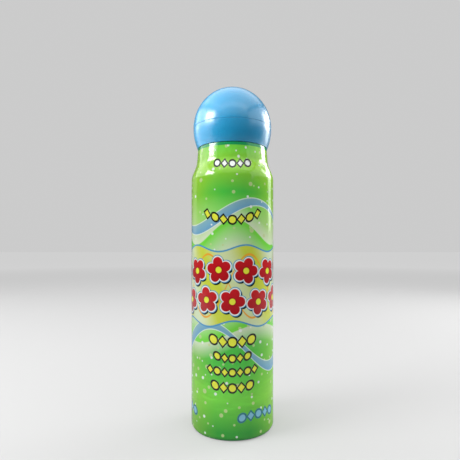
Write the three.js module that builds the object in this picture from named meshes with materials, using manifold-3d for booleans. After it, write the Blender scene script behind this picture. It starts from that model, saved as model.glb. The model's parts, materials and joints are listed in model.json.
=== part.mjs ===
// A dab-on glue bottle: a round bottle in a printed sleeve, a sprung valve with a foam tip in its neck,
// and a ball-shaped screw cap. Millimetres, +Z up, origin at the centre of the standing ring's plane.

import * as THREE from 'three';
import { mergeVertices } from 'three/addons/utils/BufferGeometryUtils.js';
import Module from 'manifold-3d';

const wasm = await Module();
wasm.setup();

// Clearances
const FIT = 0.1; // between pieces that are pushed, snapped or shrunk together
const RUN = 0.3; // between pieces that move past each other

// Bottle
const BODY_R = 15.0; // outside radius over the sleeve
const BODY_H = 88.5; // height at which the straight wall ends
const BOTTLE_WALL = 0.8;
const BASE_CORNER_R = 1.6;
const STANDING_RING_W = 1.1; // width of the flat ring that the bottle stands on
const PUSH_UP_SLOPE_W = 1.5;
const PUSH_UP_H = 1.2; // height of the base's middle above the standing ring
const SHOULDER_H = 7.0; // height of the S-shaped shoulder
const BAND_H = 4.3; // slightly tapered band between the shoulder and the ledge
const BAND_TAPER = 0.43; // by how much the band's radius shrinks upwards
const LEDGE_W = 2.07; // ledge round the neck that the cap comes down on
const LEDGE_EDGE_R = 0.3;
const NECK_R = 10.2;
const NECK_WALL = 0.8;
const NECK_H = 6.2;

// Sleeve
const SLEEVE_T = 0.25;
const SLEEVE_RISE = 0.2; // how far the sleeve's top stands above the ledge
const SLEEVE_HEM_DEG = 44; // how far the sleeve wraps round the base corner

// Screw thread of the neck and the cap
const THREAD_PITCH = 3.0;
const THREAD_DEPTH = 0.9;
const THREAD_ROOT_W = 1.4;
const THREAD_CREST_W = 0.7;
const THREAD_SINK = 0.3; // how far a ridge's root reaches into its wall
const THREAD_FOOT_GAP = 0.9; // plain neck below the thread
const THREAD_HEAD_GAP = 0.3; // plain neck above the thread

// Valve housing, from the neck's lip
const GASKET_T = 0.5;
const FLANGE_T = 0.6;
const RIM_H = 0.7; // raised rim that the tip collar snaps over
const HOUSING_WALL = 1.1;
const WEB_DEPTH = 4.0; // top of the valve seat web below the lip
const WEB_T = 1.0;
const WEB_HOLE_R = 3.6;
const CAGE_STOP_W = 0.3; // step that the spring cage is pushed up against
const SNAP_LIP_W = 0.4; // lip that keeps the cage in
const SNAP_LIP_T = 0.3;

// Valve
const VALVE_TRAVEL = 3.0;
const SEAL_T = 0.6;
const SEAL_OVERLAP = 1.3; // how far the seal reaches past the seat's hole
const DISC_T = 1.0;
const DISC_RIM_W = 0.1; // disc outside the seal
const PIN_R = 1.4;
const TAIL_R = 1.5;
const TAIL_ENGAGED = 0.9; // length of the tail inside the cage's guide at rest

// Spring and its cage
const SPRING_LENGTH = 6.4;
const SPRING_R = 4.0; // to the middle of the wire
const SPRING_WIRE = 0.6;
const SPRING_TURNS = 4.5;
const CAGE_FLOOR_T = 1.0;
const CAGE_RING_H = 1.6;
const CAGE_RING_WALL = 0.9;
const CAGE_GUIDE_WALL = 0.7;
const CAGE_HOLES = 8;
const CAGE_HOLE_R = 1.0;

// Spreader, foam tip and tip collar
const SPREADER_R = 6.4;
const SPREADER_WALL = 0.9;
const SPREADER_SKIRT_H = 3.1; // from the guide flange's foot to the dome's foot
const SPREADER_RISE = 4.8; // height of the dome
const GUIDE_FLANGE_T = 0.8;
const BOSS_WALL = 0.9;
const BOSS_DROP = 0.7; // how far the boss reaches below the guide flange
const SOCKET_DEPTH = 4.8;
const SPREADER_HOLES = 8;
const SPREADER_HOLE_R = 0.7;
const FOAM_FLANGE_T = 0.9;
const FOAM_SIDE_T = 1.0;
const FOAM_NECK_H = 1.9; // from the foam flange's foot to the dome's foot
const FOAM_RISE = 5.6;
const COLLAR_WALL = 0.6;
const COLLAR_LIP_T = 0.9;

// Cap
const CAP_WALL = 1.3;
const CAP_SKIRT_H = 7.3; // from the cap's foot to its widest place
const CAP_FOOT_W = 1.35;
const DOME_RISE = 14.8;
const SPIGOT_WALL = 1.0;
const SPIGOT_GAP = 0.5; // between the spigot and the dome's wall
const BEAD_R = 0.3;
const JOINT_BEVEL = 0.12; // bevel on both sides of the joint line
const LINER_T = 1.0;
const LINER_STOP_W = 0.8; // ring in the dome above the liner
const LINER_STOP_H = 0.8;

// Contents
const HEADSPACE = 5.6; // air between the glue and the valve housing

// Fineness of round shapes
const ROUND = 36;
const SMALL_ROUND = 18;
const HOLE_SIDES = 8;
const THREAD_STEPS = 24; // steps in one turn of thread
const THREAD_FADE_STEPS = 4; // steps over which a thread's end rises
const SPRING_STEPS = 8;
const SPRING_SIDES = 5;

// Radii that follow
const bottleR = BODY_R - SLEEVE_T - FIT;
const bandTopR = NECK_R + LEDGE_W;
const bandFootR = bandTopR + BAND_TAPER;
const neckBoreR = NECK_R - NECK_WALL;
const neckThreadR = NECK_R + THREAD_DEPTH;
const standingRingR = bottleR - BASE_CORNER_R - STANDING_RING_W; // the ring's inner edge
const pushUpR = standingRingR - PUSH_UP_SLOPE_W;
const tubeR = neckBoreR - FIT;
const wellR = tubeR - HOUSING_WALL;
const chamberR = wellR - CAGE_STOP_W;
const cageR = wellR - FIT;
const pocketR = NECK_R - COLLAR_WALL; // inside of the tip collar
const rimR = pocketR - FIT;
const tailHoleR = TAIL_R + RUN;
const sealR = WEB_HOLE_R + SEAL_OVERLAP;
const guideFlangeR = wellR - RUN;
const socketR = PIN_R + FIT;
const bossR = socketR + BOSS_WALL;
const foamBoreR = SPREADER_R + RUN;
const foamR = foamBoreR + FOAM_SIDE_T;
const capBoreR = neckThreadR + RUN;
const capThreadR = capBoreR - THREAD_DEPTH;
const spigotR = capBoreR + SPIGOT_WALL;
const domeBoreR = spigotR + SPIGOT_GAP;
const capR = domeBoreR + CAP_WALL;
const capFootR = capBoreR + CAP_FOOT_W;

// Heights above the floor that follow
const bandFootZ = BODY_H + SHOULDER_H;
const ledgeZ = bandFootZ + BAND_H;
const lipZ = ledgeZ + NECK_H;
const sleeveTopZ = ledgeZ + SLEEVE_RISE;
const capFootZ = sleeveTopZ + RUN;
const neckThreadZ = ledgeZ + THREAD_FOOT_GAP + THREAD_ROOT_W / 2;
const threadEndZ = lipZ - THREAD_HEAD_GAP - THREAD_ROOT_W / 2;
const capThreadZ = capFootZ + THREAD_HEAD_GAP + THREAD_ROOT_W / 2 + FIT;

// Heights above the neck's lip that follow
const flangeFoot = GASKET_T + 2 * FIT;
const flangeTop = flangeFoot + FLANGE_T;
const rimTop = flangeTop + RIM_H;
const foamFoot = rimTop + FIT;
const collarLipFoot = foamFoot + FOAM_FLANGE_T + FIT;
const collarTop = collarLipFoot + COLLAR_LIP_T;
const webTop = -WEB_DEPTH;
const webFoot = webTop - WEB_T;
const sealFoot = webFoot - FIT - SEAL_T;
const discTop = sealFoot - FIT;
const discFoot = discTop - DISC_T;
const springTop = discFoot - FIT;
const springFoot = springTop - SPRING_LENGTH;
const cageFloorTop = springFoot - FIT;
const cageFoot = cageFloorTop - CAGE_FLOOR_T;
const cageTop = cageFoot + CAGE_RING_H;
const tubeFoot = cageFoot - FIT - SNAP_LIP_T;
const guideTop = discFoot - VALVE_TRAVEL - RUN;
const tailFoot = guideTop - TAIL_ENGAGED;
const guideFlangeFoot = webTop + VALVE_TRAVEL + RUN;
const domeFoot = guideFlangeFoot + SPREADER_SKIRT_H;
const spreaderTop = domeFoot + SPREADER_RISE;
const bossFoot = guideFlangeFoot - BOSS_DROP;
const socketTop = bossFoot + SOCKET_DEPTH;
const foamDomeFoot = foamFoot + FOAM_NECK_H;
const foamBoreTop = spreaderTop + RUN;
const linerFoot = collarTop + RUN;

// Heights above the cap's foot that follow
const linerInCap = lipZ + linerFoot - capFootZ;
const spigotTop = linerInCap - FIT;
const linerStopFoot = linerInCap + LINER_T + FIT;

/** Revolves a profile of [radius, height] points, which starts and ends on the axis, about +Z. */
function revolve(profile, segments = ROUND) {
  const points = profile.map(([r, z]) => new THREE.Vector2(r, z));
  return new THREE.LatheGeometry(points, segments).rotateX(Math.PI / 2);
}

/** Revolves a profile that stays off the axis, closed on itself. */
function revolveRing(profile, segments = ROUND) {
  return revolve([...profile, profile[0]], segments);
}

/** Points of an arc, or of an ellipse's arc, about [centreR, centreZ]. Angles are in degrees. */
function arc(centreR, centreZ, radiusR, radiusZ, fromDeg, toDeg, steps) {
  return Array.from({ length: steps + 1 }, (_, i) => {
    const angle = THREE.MathUtils.degToRad(THREE.MathUtils.lerp(fromDeg, toDeg, i / steps));
    return [centreR + radiusR * Math.cos(angle), centreZ + radiusZ * Math.sin(angle)];
  });
}

/** Joins rings of as many points each into a closed body, with a flat face at both ends. */
function loft(rings) {
  const sides = rings[0].length;
  const faces = [];
  for (let i = 0; i + 1 < rings.length; i++) {
    for (let j = 0; j < sides; j++) {
      const a = i * sides + j;
      const b = i * sides + ((j + 1) % sides);
      faces.push(a, b, b + sides, a, b + sides, a + sides);
    }
  }
  const last = (rings.length - 1) * sides;
  for (let j = 1; j + 1 < sides; j++) {
    faces.push(0, j + 1, j, last, last + j, last + j + 1);
  }
  const geometry = new THREE.BufferGeometry().setFromPoints(rings.flat());
  geometry.setIndex(faces);
  return geometry;
}

/** Turns a closed mesh into a solid that can be joined and cut. */
function solid(geometry) {
  const bare = geometry.clone();
  bare.deleteAttribute('normal');
  bare.deleteAttribute('uv');
  const merged = mergeVertices(bare, 1e-4);
  const index = merged.index.array;
  const triVerts = [];
  for (let i = 0; i < index.length; i += 3) {
    const [a, b, c] = index.slice(i, i + 3);
    if (a !== b && b !== c && c !== a) triVerts.push(a, b, c);
  }
  return new wasm.Manifold(
    new wasm.Mesh({
      numProp: 3,
      vertProperties: merged.attributes.position.array,
      triVerts: Uint32Array.from(triVerts),
    }),
  );
}

/** Turns a solid back into a mesh. */
function skin(body) {
  const mesh = body.getMesh();
  const geometry = new THREE.BufferGeometry();
  geometry.setAttribute('position', new THREE.BufferAttribute(mesh.vertProperties, 3));
  geometry.setIndex(new THREE.BufferAttribute(mesh.triVerts, 1));
  geometry.computeVertexNormals();
  return geometry;
}

/** A ring of upright round holes, cut out of a geometry between two heights. */
function cutHoles(geometry, { count, circleR, holeR, foot, top }) {
  let body = solid(geometry);
  for (let i = 0; i < count; i++) {
    const angle = (i + 0.5) * ((2 * Math.PI) / count);
    const drill = new THREE.CylinderGeometry(holeR, holeR, top - foot, HOLE_SIDES)
      .rotateX(Math.PI / 2)
      .translate(circleR * Math.cos(angle), circleR * Math.sin(angle), (top + foot) / 2);
    body = body.subtract(solid(drill));
  }
  return skin(body);
}

/** A helical ridge on a wall. Its section is a trapezoid that rises and fades out at the two ends. */
function threadRidge({ wallR, crestR, startZ, endZ, startAngle }) {
  const turns = (endZ - startZ) / THREAD_PITCH;
  const steps = Math.ceil(turns * THREAD_STEPS);
  const rootR = wallR + Math.sign(wallR - crestR) * THREAD_SINK;
  const inside = crestR < wallR;
  const rings = [];
  for (let i = 0; i <= steps; i++) {
    const angle = startAngle + (i / steps) * turns * 2 * Math.PI;
    const z = THREE.MathUtils.lerp(startZ, endZ, i / steps);
    const height = Math.min(1, (1 + Math.min(i, steps - i)) / (1 + THREAD_FADE_STEPS));
    const topR = THREE.MathUtils.lerp(wallR, crestR, height);
    const section = [
      [rootR, z - THREAD_ROOT_W / 2],
      [topR, z - THREAD_CREST_W / 2],
      [topR, z + THREAD_CREST_W / 2],
      [rootR, z + THREAD_ROOT_W / 2],
    ];
    if (!inside) section.reverse();
    rings.push(
      section.map(([r, h]) => new THREE.Vector3(r * Math.cos(angle), r * Math.sin(angle), h)),
    );
  }
  return loft(rings);
}

/** Shoulder's outside from the straight wall up to the band, moved out by an offset. */
function shoulder(offset, steps) {
  return Array.from({ length: steps + 1 }, (_, i) => {
    const swing = (1 - Math.cos((Math.PI * i) / steps)) / 2;
    const r = THREE.MathUtils.lerp(bottleR, bandFootR, swing);
    return [r + offset, BODY_H + (SHOULDER_H * i) / steps];
  });
}

function bottle() {
  const innerCornerR = Math.max(BASE_CORNER_R - BOTTLE_WALL, FIT);
  const cornerR = bottleR - BASE_CORNER_R;
  const body = revolve([
    [0, PUSH_UP_H],
    [pushUpR, PUSH_UP_H],
    [standingRingR, 0],
    ...arc(cornerR, BASE_CORNER_R, BASE_CORNER_R, BASE_CORNER_R, -90, 0, 4),
    ...shoulder(0, 7),
    [bandTopR, ledgeZ - LEDGE_EDGE_R],
    [bandTopR - LEDGE_EDGE_R, ledgeZ],
    [NECK_R, ledgeZ],
    [NECK_R, lipZ],
    [neckBoreR, lipZ],
    [neckBoreR, ledgeZ - BOTTLE_WALL],
    [bandTopR - BOTTLE_WALL - LEDGE_EDGE_R, ledgeZ - BOTTLE_WALL],
    ...shoulder(-BOTTLE_WALL, 5).reverse(),
    ...arc(cornerR, BASE_CORNER_R, bottleR - BOTTLE_WALL - cornerR, innerCornerR, 0, -90, 2),
    [standingRingR, BASE_CORNER_R - innerCornerR],
    [pushUpR, PUSH_UP_H + BOTTLE_WALL],
    [0, PUSH_UP_H + BOTTLE_WALL],
  ]);
  const thread = threadRidge({
    wallR: NECK_R,
    crestR: neckThreadR,
    startZ: neckThreadZ,
    endZ: threadEndZ,
    startAngle: 0,
  });
  return skin(solid(body).add(solid(thread)));
}

function shrinkSleeve() {
  const cornerR = bottleR - BASE_CORNER_R;
  const side = (offset, steps) => [
    ...arc(
      cornerR, BASE_CORNER_R, BASE_CORNER_R + offset, BASE_CORNER_R + offset, -SLEEVE_HEM_DEG, 0, 3,
    ),
    ...shoulder(offset, steps),
    [bandTopR + offset, sleeveTopZ],
  ];
  return revolveRing([...side(FIT + SLEEVE_T, 7), ...side(FIT, 7).reverse()]);
}

function glueFill() {
  const cornerR = bottleR - BASE_CORNER_R;
  const innerCornerR = Math.max(BASE_CORNER_R - BOTTLE_WALL, FIT);
  const floor = BASE_CORNER_R - innerCornerR + FIT;
  const level = lipZ + tubeFoot - HEADSPACE;
  const glueR = bottleR - BOTTLE_WALL - FIT;
  return revolve([
    [0, PUSH_UP_H + BOTTLE_WALL + FIT],
    [pushUpR, PUSH_UP_H + BOTTLE_WALL + FIT],
    [standingRingR, floor],
    ...arc(cornerR, floor + innerCornerR, glueR - cornerR, innerCornerR, -90, 0, 2),
    [glueR, level],
    [0, level],
  ]);
}

function neckGasket() {
  return revolveRing([
    [neckBoreR, FIT],
    [NECK_R, FIT],
    [NECK_R, FIT + GASKET_T],
    [neckBoreR, FIT + GASKET_T],
  ]);
}

function valveHousing() {
  return revolveRing([
    [tubeR, tubeFoot],
    [tubeR, flangeFoot],
    [NECK_R, flangeFoot],
    [NECK_R, flangeTop],
    [rimR, flangeTop],
    [rimR, rimTop],
    [wellR, rimTop],
    [wellR, webTop],
    [WEB_HOLE_R, webTop],
    [WEB_HOLE_R, webFoot],
    [chamberR, webFoot],
    [chamberR, cageTop + FIT],
    [wellR, cageTop + FIT],
    [wellR, cageFoot - FIT],
    [wellR - SNAP_LIP_W, cageFoot - FIT],
    [wellR - SNAP_LIP_W, tubeFoot],
  ]);
}

function springCage() {
  const cup = revolveRing(
    [
      [tailHoleR, cageFoot],
      [cageR, cageFoot],
      [cageR, cageTop],
      [cageR - CAGE_RING_WALL, cageTop],
      [cageR - CAGE_RING_WALL, cageFloorTop],
      [tailHoleR + CAGE_GUIDE_WALL, cageFloorTop],
      [tailHoleR + CAGE_GUIDE_WALL, guideTop],
      [tailHoleR, guideTop],
    ],
    SMALL_ROUND,
  );
  const seatR = SPRING_R + SPRING_WIRE / 2;
  return cutHoles(cup, {
    count: CAGE_HOLES,
    circleR: (seatR + cageR - CAGE_RING_WALL) / 2,
    holeR: CAGE_HOLE_R,
    foot: cageFoot - 1,
    top: cageFloorTop + 1,
  });
}

/** Middle of the spring's wire, from its foot to its top. */
function springLine() {
  const steps = Math.round(SPRING_TURNS * SPRING_STEPS);
  return Array.from({ length: steps + 1 }, (_, i) => {
    const angle = (i / SPRING_STEPS) * 2 * Math.PI;
    const foot = springFoot + SPRING_WIRE / 2;
    const z = foot + ((SPRING_LENGTH - SPRING_WIRE) * i) / steps;
    return new THREE.Vector3(SPRING_R * Math.cos(angle), SPRING_R * Math.sin(angle), z);
  });
}

/** Least gap between neighbouring turns of the spring, measured between points half a turn apart or more. */
function springGap() {
  const line = springLine();
  let least = Infinity;
  line.forEach((p, i) => {
    line.slice(i + SPRING_STEPS / 2).forEach((q) => {
      least = Math.min(least, p.distanceTo(q) - SPRING_WIRE);
    });
  });
  return least;
}

function valveSpring() {
  const up = new THREE.Vector3(0, 0, 1);
  return loft(
    springLine().map((middle) => {
      const out = new THREE.Vector3(middle.x, middle.y, 0).normalize();
      return Array.from({ length: SPRING_SIDES }, (_, j) => {
        const angle = (j / SPRING_SIDES) * 2 * Math.PI;
        return middle
          .clone()
          .addScaledVector(out, (SPRING_WIRE / 2) * Math.sin(angle))
          .addScaledVector(up, (SPRING_WIRE / 2) * Math.cos(angle));
      });
    }),
  );
}

function valveStem() {
  const discR = sealR + DISC_RIM_W;
  return revolve(
    [
      [0, tailFoot],
      [TAIL_R, tailFoot],
      [TAIL_R, discFoot],
      [discR, discFoot],
      [discR, discTop],
      [PIN_R, discTop],
      [PIN_R, socketTop - FIT],
      [0, socketTop - FIT],
    ],
    SMALL_ROUND,
  );
}

function stemSeal() {
  return revolveRing(
    [
      [PIN_R + FIT, sealFoot],
      [sealR, sealFoot],
      [sealR, sealFoot + SEAL_T],
      [PIN_R + FIT, sealFoot + SEAL_T],
    ],
    SMALL_ROUND,
  );
}

function spreader() {
  const boreR = SPREADER_R - SPREADER_WALL;
  const boreRise = SPREADER_RISE - SPREADER_WALL;
  const bossDeg = THREE.MathUtils.radToDeg(Math.acos(bossR / boreR));
  const dome = revolve(
    [
      [0, socketTop],
      [socketR, socketTop],
      [socketR, bossFoot],
      [bossR, bossFoot],
      ...arc(0, domeFoot, boreR, boreRise, bossDeg, 0, 5),
      [boreR, guideFlangeFoot],
      [guideFlangeR, guideFlangeFoot],
      [guideFlangeR, guideFlangeFoot + GUIDE_FLANGE_T],
      [SPREADER_R, guideFlangeFoot + GUIDE_FLANGE_T],
      ...arc(0, domeFoot, SPREADER_R, SPREADER_RISE, 0, 90, 6),
    ],
    SMALL_ROUND,
  );
  return cutHoles(dome, {
    count: SPREADER_HOLES,
    circleR: (bossR + boreR) / 2,
    holeR: SPREADER_HOLE_R,
    foot: domeFoot,
    top: spreaderTop + 1,
  });
}

function foamTip() {
  return revolve([
    [0, foamBoreTop],
    ...arc(0, foamFoot + FIT, foamBoreR, foamBoreTop - foamFoot - FIT, 90, 0, 7).slice(1),
    [foamBoreR, foamFoot],
    [pocketR - FIT, foamFoot],
    [pocketR - FIT, foamFoot + FOAM_FLANGE_T],
    [foamR, foamFoot + FOAM_FLANGE_T],
    ...arc(0, foamDomeFoot, foamR, FOAM_RISE, 0, 90, 8),
  ]);
}

function tipCollar() {
  return revolveRing([
    [pocketR, flangeTop + FIT],
    [NECK_R, flangeTop + FIT],
    [NECK_R, collarTop - COLLAR_LIP_T / 2],
    [NECK_R - COLLAR_LIP_T / 2, collarTop],
    [foamR + RUN, collarTop],
    [foamR + RUN, collarLipFoot],
    [pocketR, collarLipFoot],
  ]);
}

function capLiner() {
  const linerR = spigotR - RUN;
  return revolveRing([
    [foamR + RUN, linerInCap],
    [linerR, linerInCap],
    [linerR, linerInCap + LINER_T],
    [foamR + RUN, linerInCap + LINER_T],
  ]);
}

function capBase() {
  const depth = CAP_SKIRT_H / Math.sqrt(1 - (capFootR / capR) ** 2);
  const footDeg = -THREE.MathUtils.radToDeg(Math.asin(CAP_SKIRT_H / depth));
  const jointFoot = CAP_SKIRT_H - FIT / 2;
  const beadZ = CAP_SKIRT_H + 2 * BEAD_R;
  const barrel = revolveRing([
    [capBoreR, 0],
    ...arc(0, CAP_SKIRT_H, capR, depth, footDeg, 0, 6).slice(0, -1),
    [capR, jointFoot - JOINT_BEVEL],
    [capR - JOINT_BEVEL, jointFoot],
    [spigotR, jointFoot],
    [spigotR, beadZ - BEAD_R],
    [spigotR + BEAD_R, beadZ],
    [spigotR, beadZ + BEAD_R],
    [spigotR, spigotTop],
    [capBoreR, spigotTop],
  ]);
  const halfPitch = THREAD_PITCH / 2;
  const startZ = capThreadZ - capFootZ;
  const thread = threadRidge({
    wallR: capBoreR,
    crestR: capThreadR,
    startZ,
    endZ: threadEndZ - capFootZ,
    startAngle: ((capThreadZ - neckThreadZ - halfPitch) / THREAD_PITCH) * 2 * Math.PI,
  });
  return skin(solid(barrel).add(solid(thread)));
}

function capDome() {
  const jointTop = CAP_SKIRT_H + FIT / 2;
  const boreRise = DOME_RISE - CAP_WALL;
  const boreAt = (z) => domeBoreR * Math.sqrt(1 - ((z - CAP_SKIRT_H) / boreRise) ** 2);
  const stopTop = linerStopFoot + LINER_STOP_H;
  const stopR = boreAt(linerStopFoot) - LINER_STOP_W;
  const upperDeg = THREE.MathUtils.radToDeg(Math.asin((stopTop - CAP_SKIRT_H) / boreRise));
  return revolve([
    [0, CAP_SKIRT_H + boreRise],
    ...arc(0, CAP_SKIRT_H, domeBoreR, boreRise, 90, upperDeg, 7).slice(1),
    [stopR, linerStopFoot + LINER_STOP_H / 2],
    [stopR, linerStopFoot],
    [boreAt(linerStopFoot), linerStopFoot],
    [domeBoreR, jointTop],
    [capR - JOINT_BEVEL, jointTop],
    [capR, jointTop + JOINT_BEVEL],
    ...arc(0, CAP_SKIRT_H, capR, DOME_RISE, 0, 90, 10).slice(1),
  ]);
}

/** A material with the piece's colour and shine. */
function finish(color, roughness, options = {}) {
  return new THREE.MeshStandardMaterial({ color, roughness, metalness: 0, ...options });
}

const whiteBottle = finish(0xf1efe6, 0.45);
const printedFilm = finish(0x62b947, 0.15);
const clearGlue = finish(0xe3edf0, 0.05, { transparent: true, opacity: 0.4 });
const whiteMoulding = finish(0xf3f2ec, 0.4);
const naturalMoulding = finish(0xe6e6df, 0.35);
const sealRubber = finish(0x55585c, 0.7);
const gasketFoam = finish(0xe9e9e4, 0.8);
const springSteel = finish(0xb6babf, 0.3, { metalness: 1 });
const softFoam = finish(0xf5f3ea, 0.95);
const capBlue = finish(0x4fa8de, 0.15);

/** A named piece of the assembly. */
function piece(name, geometry, material) {
  const mesh = new THREE.Mesh(geometry, material);
  mesh.name = name;
  return mesh;
}

const filledBottle = new THREE.Group();
filledBottle.add(
  piece('bottle', bottle(), whiteBottle),
  piece('shrink_sleeve', shrinkSleeve(), printedFilm),
  piece('glue_fill', glueFill(), clearGlue),
);

const valve = new THREE.Group();
valve.add(
  piece('valve_stem', valveStem(), whiteMoulding),
  piece('stem_seal', stemSeal(), sealRubber),
  piece('spreader', spreader(), naturalMoulding),
);

const fitment = new THREE.Group();
fitment.position.z = lipZ;
fitment.add(
  piece('neck_gasket', neckGasket(), gasketFoam),
  piece('valve_housing', valveHousing(), whiteMoulding),
  piece('spring_cage', springCage(), naturalMoulding),
  piece('valve_spring', valveSpring(), springSteel),
  piece('foam_tip', foamTip(), softFoam),
  piece('tip_collar', tipCollar(), whiteMoulding),
  valve,
);

const cap = new THREE.Group();
cap.position.z = capFootZ;
cap.add(
  piece('cap_liner', capLiner(), gasketFoam),
  piece('cap_base', capBase(), capBlue),
  piece('cap_dome', capDome(), capBlue),
);

console.log(`least gap between the spring's turns: ${springGap().toFixed(2)} mm`);

const glueBottle = new THREE.Group();
glueBottle.add(filledBottle, fitment, cap);

export default glueBottle;
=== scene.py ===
"""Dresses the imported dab-on glue bottle: turned pieces, threads, spring, print and plain studio stage."""

import json
import math
from functools import cache, partialmethod
from types import SimpleNamespace

import bpy
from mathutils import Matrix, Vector


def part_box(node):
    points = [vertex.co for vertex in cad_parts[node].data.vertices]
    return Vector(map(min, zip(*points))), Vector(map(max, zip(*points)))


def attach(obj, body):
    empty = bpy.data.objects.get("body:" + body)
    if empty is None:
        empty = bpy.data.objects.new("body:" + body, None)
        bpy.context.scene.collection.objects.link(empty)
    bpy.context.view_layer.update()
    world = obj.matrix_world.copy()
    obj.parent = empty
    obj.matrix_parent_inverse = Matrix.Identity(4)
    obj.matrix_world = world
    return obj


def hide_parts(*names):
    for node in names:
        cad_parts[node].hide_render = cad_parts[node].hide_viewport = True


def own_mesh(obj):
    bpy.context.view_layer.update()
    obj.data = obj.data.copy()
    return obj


bl_info = {
    "name": "Dab-on glue bottle",
    "version": (1, 0, 0),
    "blender": (4, 5, 0),
    "location": "View3D > Sidebar > Glue bottle",
    "description": "Makes the visible pieces of a dab-on glue bottle on its packed frame",
    "category": "Object",
}

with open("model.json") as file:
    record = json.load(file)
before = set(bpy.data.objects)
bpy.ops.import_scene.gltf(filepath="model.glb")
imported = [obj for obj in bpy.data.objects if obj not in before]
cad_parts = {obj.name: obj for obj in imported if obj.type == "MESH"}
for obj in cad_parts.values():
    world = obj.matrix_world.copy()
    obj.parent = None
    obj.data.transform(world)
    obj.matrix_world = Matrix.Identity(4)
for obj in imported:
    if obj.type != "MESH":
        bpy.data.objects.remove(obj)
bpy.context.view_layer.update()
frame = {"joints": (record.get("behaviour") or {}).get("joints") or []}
MM = 0.001  # metres in a millimetre
TURN = 2 * math.pi
UV_MM = 100  # millimetres in a unit of the print's UV map


def measure(node):
    """Largest radius, lowest height and highest height of a CAD node, in millimetres."""
    low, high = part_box(node)
    return (high.x - low.x) / 2 / MM, low.z / MM, high.z / MM


# Sizes from the frame, in millimetres
SLEEVE_R, _, SLEEVE_TOP = measure("shrink_sleeve")
BOTTLE_R, _, LIP_Z = measure("bottle")
GLUE_R, GLUE_FOOT, GLUE_TOP = measure("glue_fill")
NECK_R, GASKET_FOOT, GASKET_TOP = measure("neck_gasket")
_, HOUSING_FOOT, HOUSING_TOP = measure("valve_housing")
CAGE_R, CAGE_FOOT, GUIDE_TOP = measure("spring_cage")
_, COLLAR_FOOT, COLLAR_TOP = measure("tip_collar")
_, SPRING_FOOT, SPRING_TOP = measure("valve_spring")
DISC_R, TAIL_FOOT, PIN_TOP = measure("valve_stem")
SEAL_R, SEAL_FOOT, SEAL_TOP = measure("stem_seal")
SPREADER_FLANGE_R, SPREADER_FOOT, SPREADER_TOP = measure("spreader")
FOAM_FLANGE_R, FOAM_FOOT, FOAM_TOP = measure("foam_tip")
_, CAP_FOOT, _ = measure("cap_base")
CAP_R, JOINT_Z, CAP_TOP = measure("cap_dome")
LINER_R, LINER_FOOT, LINER_TOP = measure("cap_liner")
RANGES = {joint["name"]: joint.get("range_m") for joint in frame["joints"]}

# Gaps, in millimetres
FIT = 0.1  # between pieces that are pushed, snapped or shrunk together
RUN = 0.3  # between pieces that move past each other

# Sizes of the bottle and the sleeve, in millimetres
FILM_T = 0.25
BOTTLE_WALL = 0.8
BASE_CORNER_R = 1.6
STANDING_RING_W = 1.1
PUSH_UP_SLOPE_W = 1.5
PUSH_UP_H = 1.2
BODY_H = 88.5
SHOULDER_H = 7.0
BAND_TAPER = 0.43
LEDGE_Z = SLEEVE_TOP - 0.2
LEDGE_R = 12.27
LEDGE_INSET = 0.3  # inside the ledge, where the wall is a little thicker
PINCH_GAP = 0.6  # from the pinch line's end to the push-up's slope
HEM_DEG = 44  # how far the sleeve's hem reaches round the base corner
GIRTH = TURN * SLEEVE_R
CORNER_ROW_STEP = 0.6  # between the film's first rows over the base corner
ROWS_FOOT = 5  # height from which the straight wall's rows are evenly spaced
ROW_STEP = 2
CREASE_FOOT = 6.0  # height from which close rows carry the film's creases
CREASE_STEP = 0.3
CREASE_ROWS = 56
MENISCUS_W = 1.6  # width of the glue's raised edge
MENISCUS_H = 0.9
GLUE_ROW_DROP = 4  # from the glue's edge to the wall's next row

# Sizes of the thread, in millimetres
THREAD_PITCH = 3.0
THREAD_DEPTH = 0.9
THREAD_ROOT_W = 1.4
THREAD_CREST_W = 0.7
THREAD_SINK = 0.3  # how far the ridge reaches into the wall
THREAD_EDGE_R = 0.22
THREAD_FOOT = 101.4  # height of the thread's middle where it starts
THREAD_END = 105.0  # and where it ends
THREAD_FADE_STEPS = 14  # over which the ridge rises at its ends

# Sizes of the neck fitting and the valve, in millimetres
FLANGE_RISE = 0.7  # from the bottle's lip to the housing's flange
FLANGE_T = 0.6
HOUSING_WALL = 1.1
WEB_DEPTH = 4.0  # top of the valve seat's web below the lip
WEB_T = 1.0
WEB_HOLE_R = 3.6
CAGE_STOP_W = 0.3
SNAP_LIP_W = 0.4
CAGE_RING_H = 1.6
CAGE_RING_WALL = 0.9
CAGE_GUIDE_WALL = 0.7
CAGE_HOLE_R = 1.0
COLLAR_WALL = 0.6
COLLAR_LIP_T = 0.9
COLLAR_CHAMFER = 0.45
COLLAR_OPENING_R = 8.0
HOLES = 8  # in the cage and in the spreader
TAIL_R = 1.5
PIN_R = 1.4
DISC_T = 1.0
SPRING_R = 4.0  # to the middle of the wire
SPRING_WIRE = 0.6
SPRING_TURNS = 4.5
CLOSED_TURNS = 0.7  # at each end of the spring
CLOSED_PITCH = 1.04 * SPRING_WIRE
SPREADER_R = 6.4
SPREADER_WALL = 0.9
SPREADER_RISE = 4.8
SPREADER_HOLE_R = 0.7
GUIDE_FLANGE_T = 0.8
BOSS_WALL = 0.9
BOSS_DROP = 0.7
SOCKET_DEPTH = 4.8
FOAM_SIDE_T = 1.0
FOAM_FLANGE_T = 0.9
FOAM_NECK_H = 1.9
FOAM_STRAIGHT_H = 0.5  # straight part of the foam's side under its dome
MOULD_EDGE_R = 0.14  # rounding of the neck fitting's edges
DRILL_OVERRUN = 1  # how far the holes' cutters stand out of the piece

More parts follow.
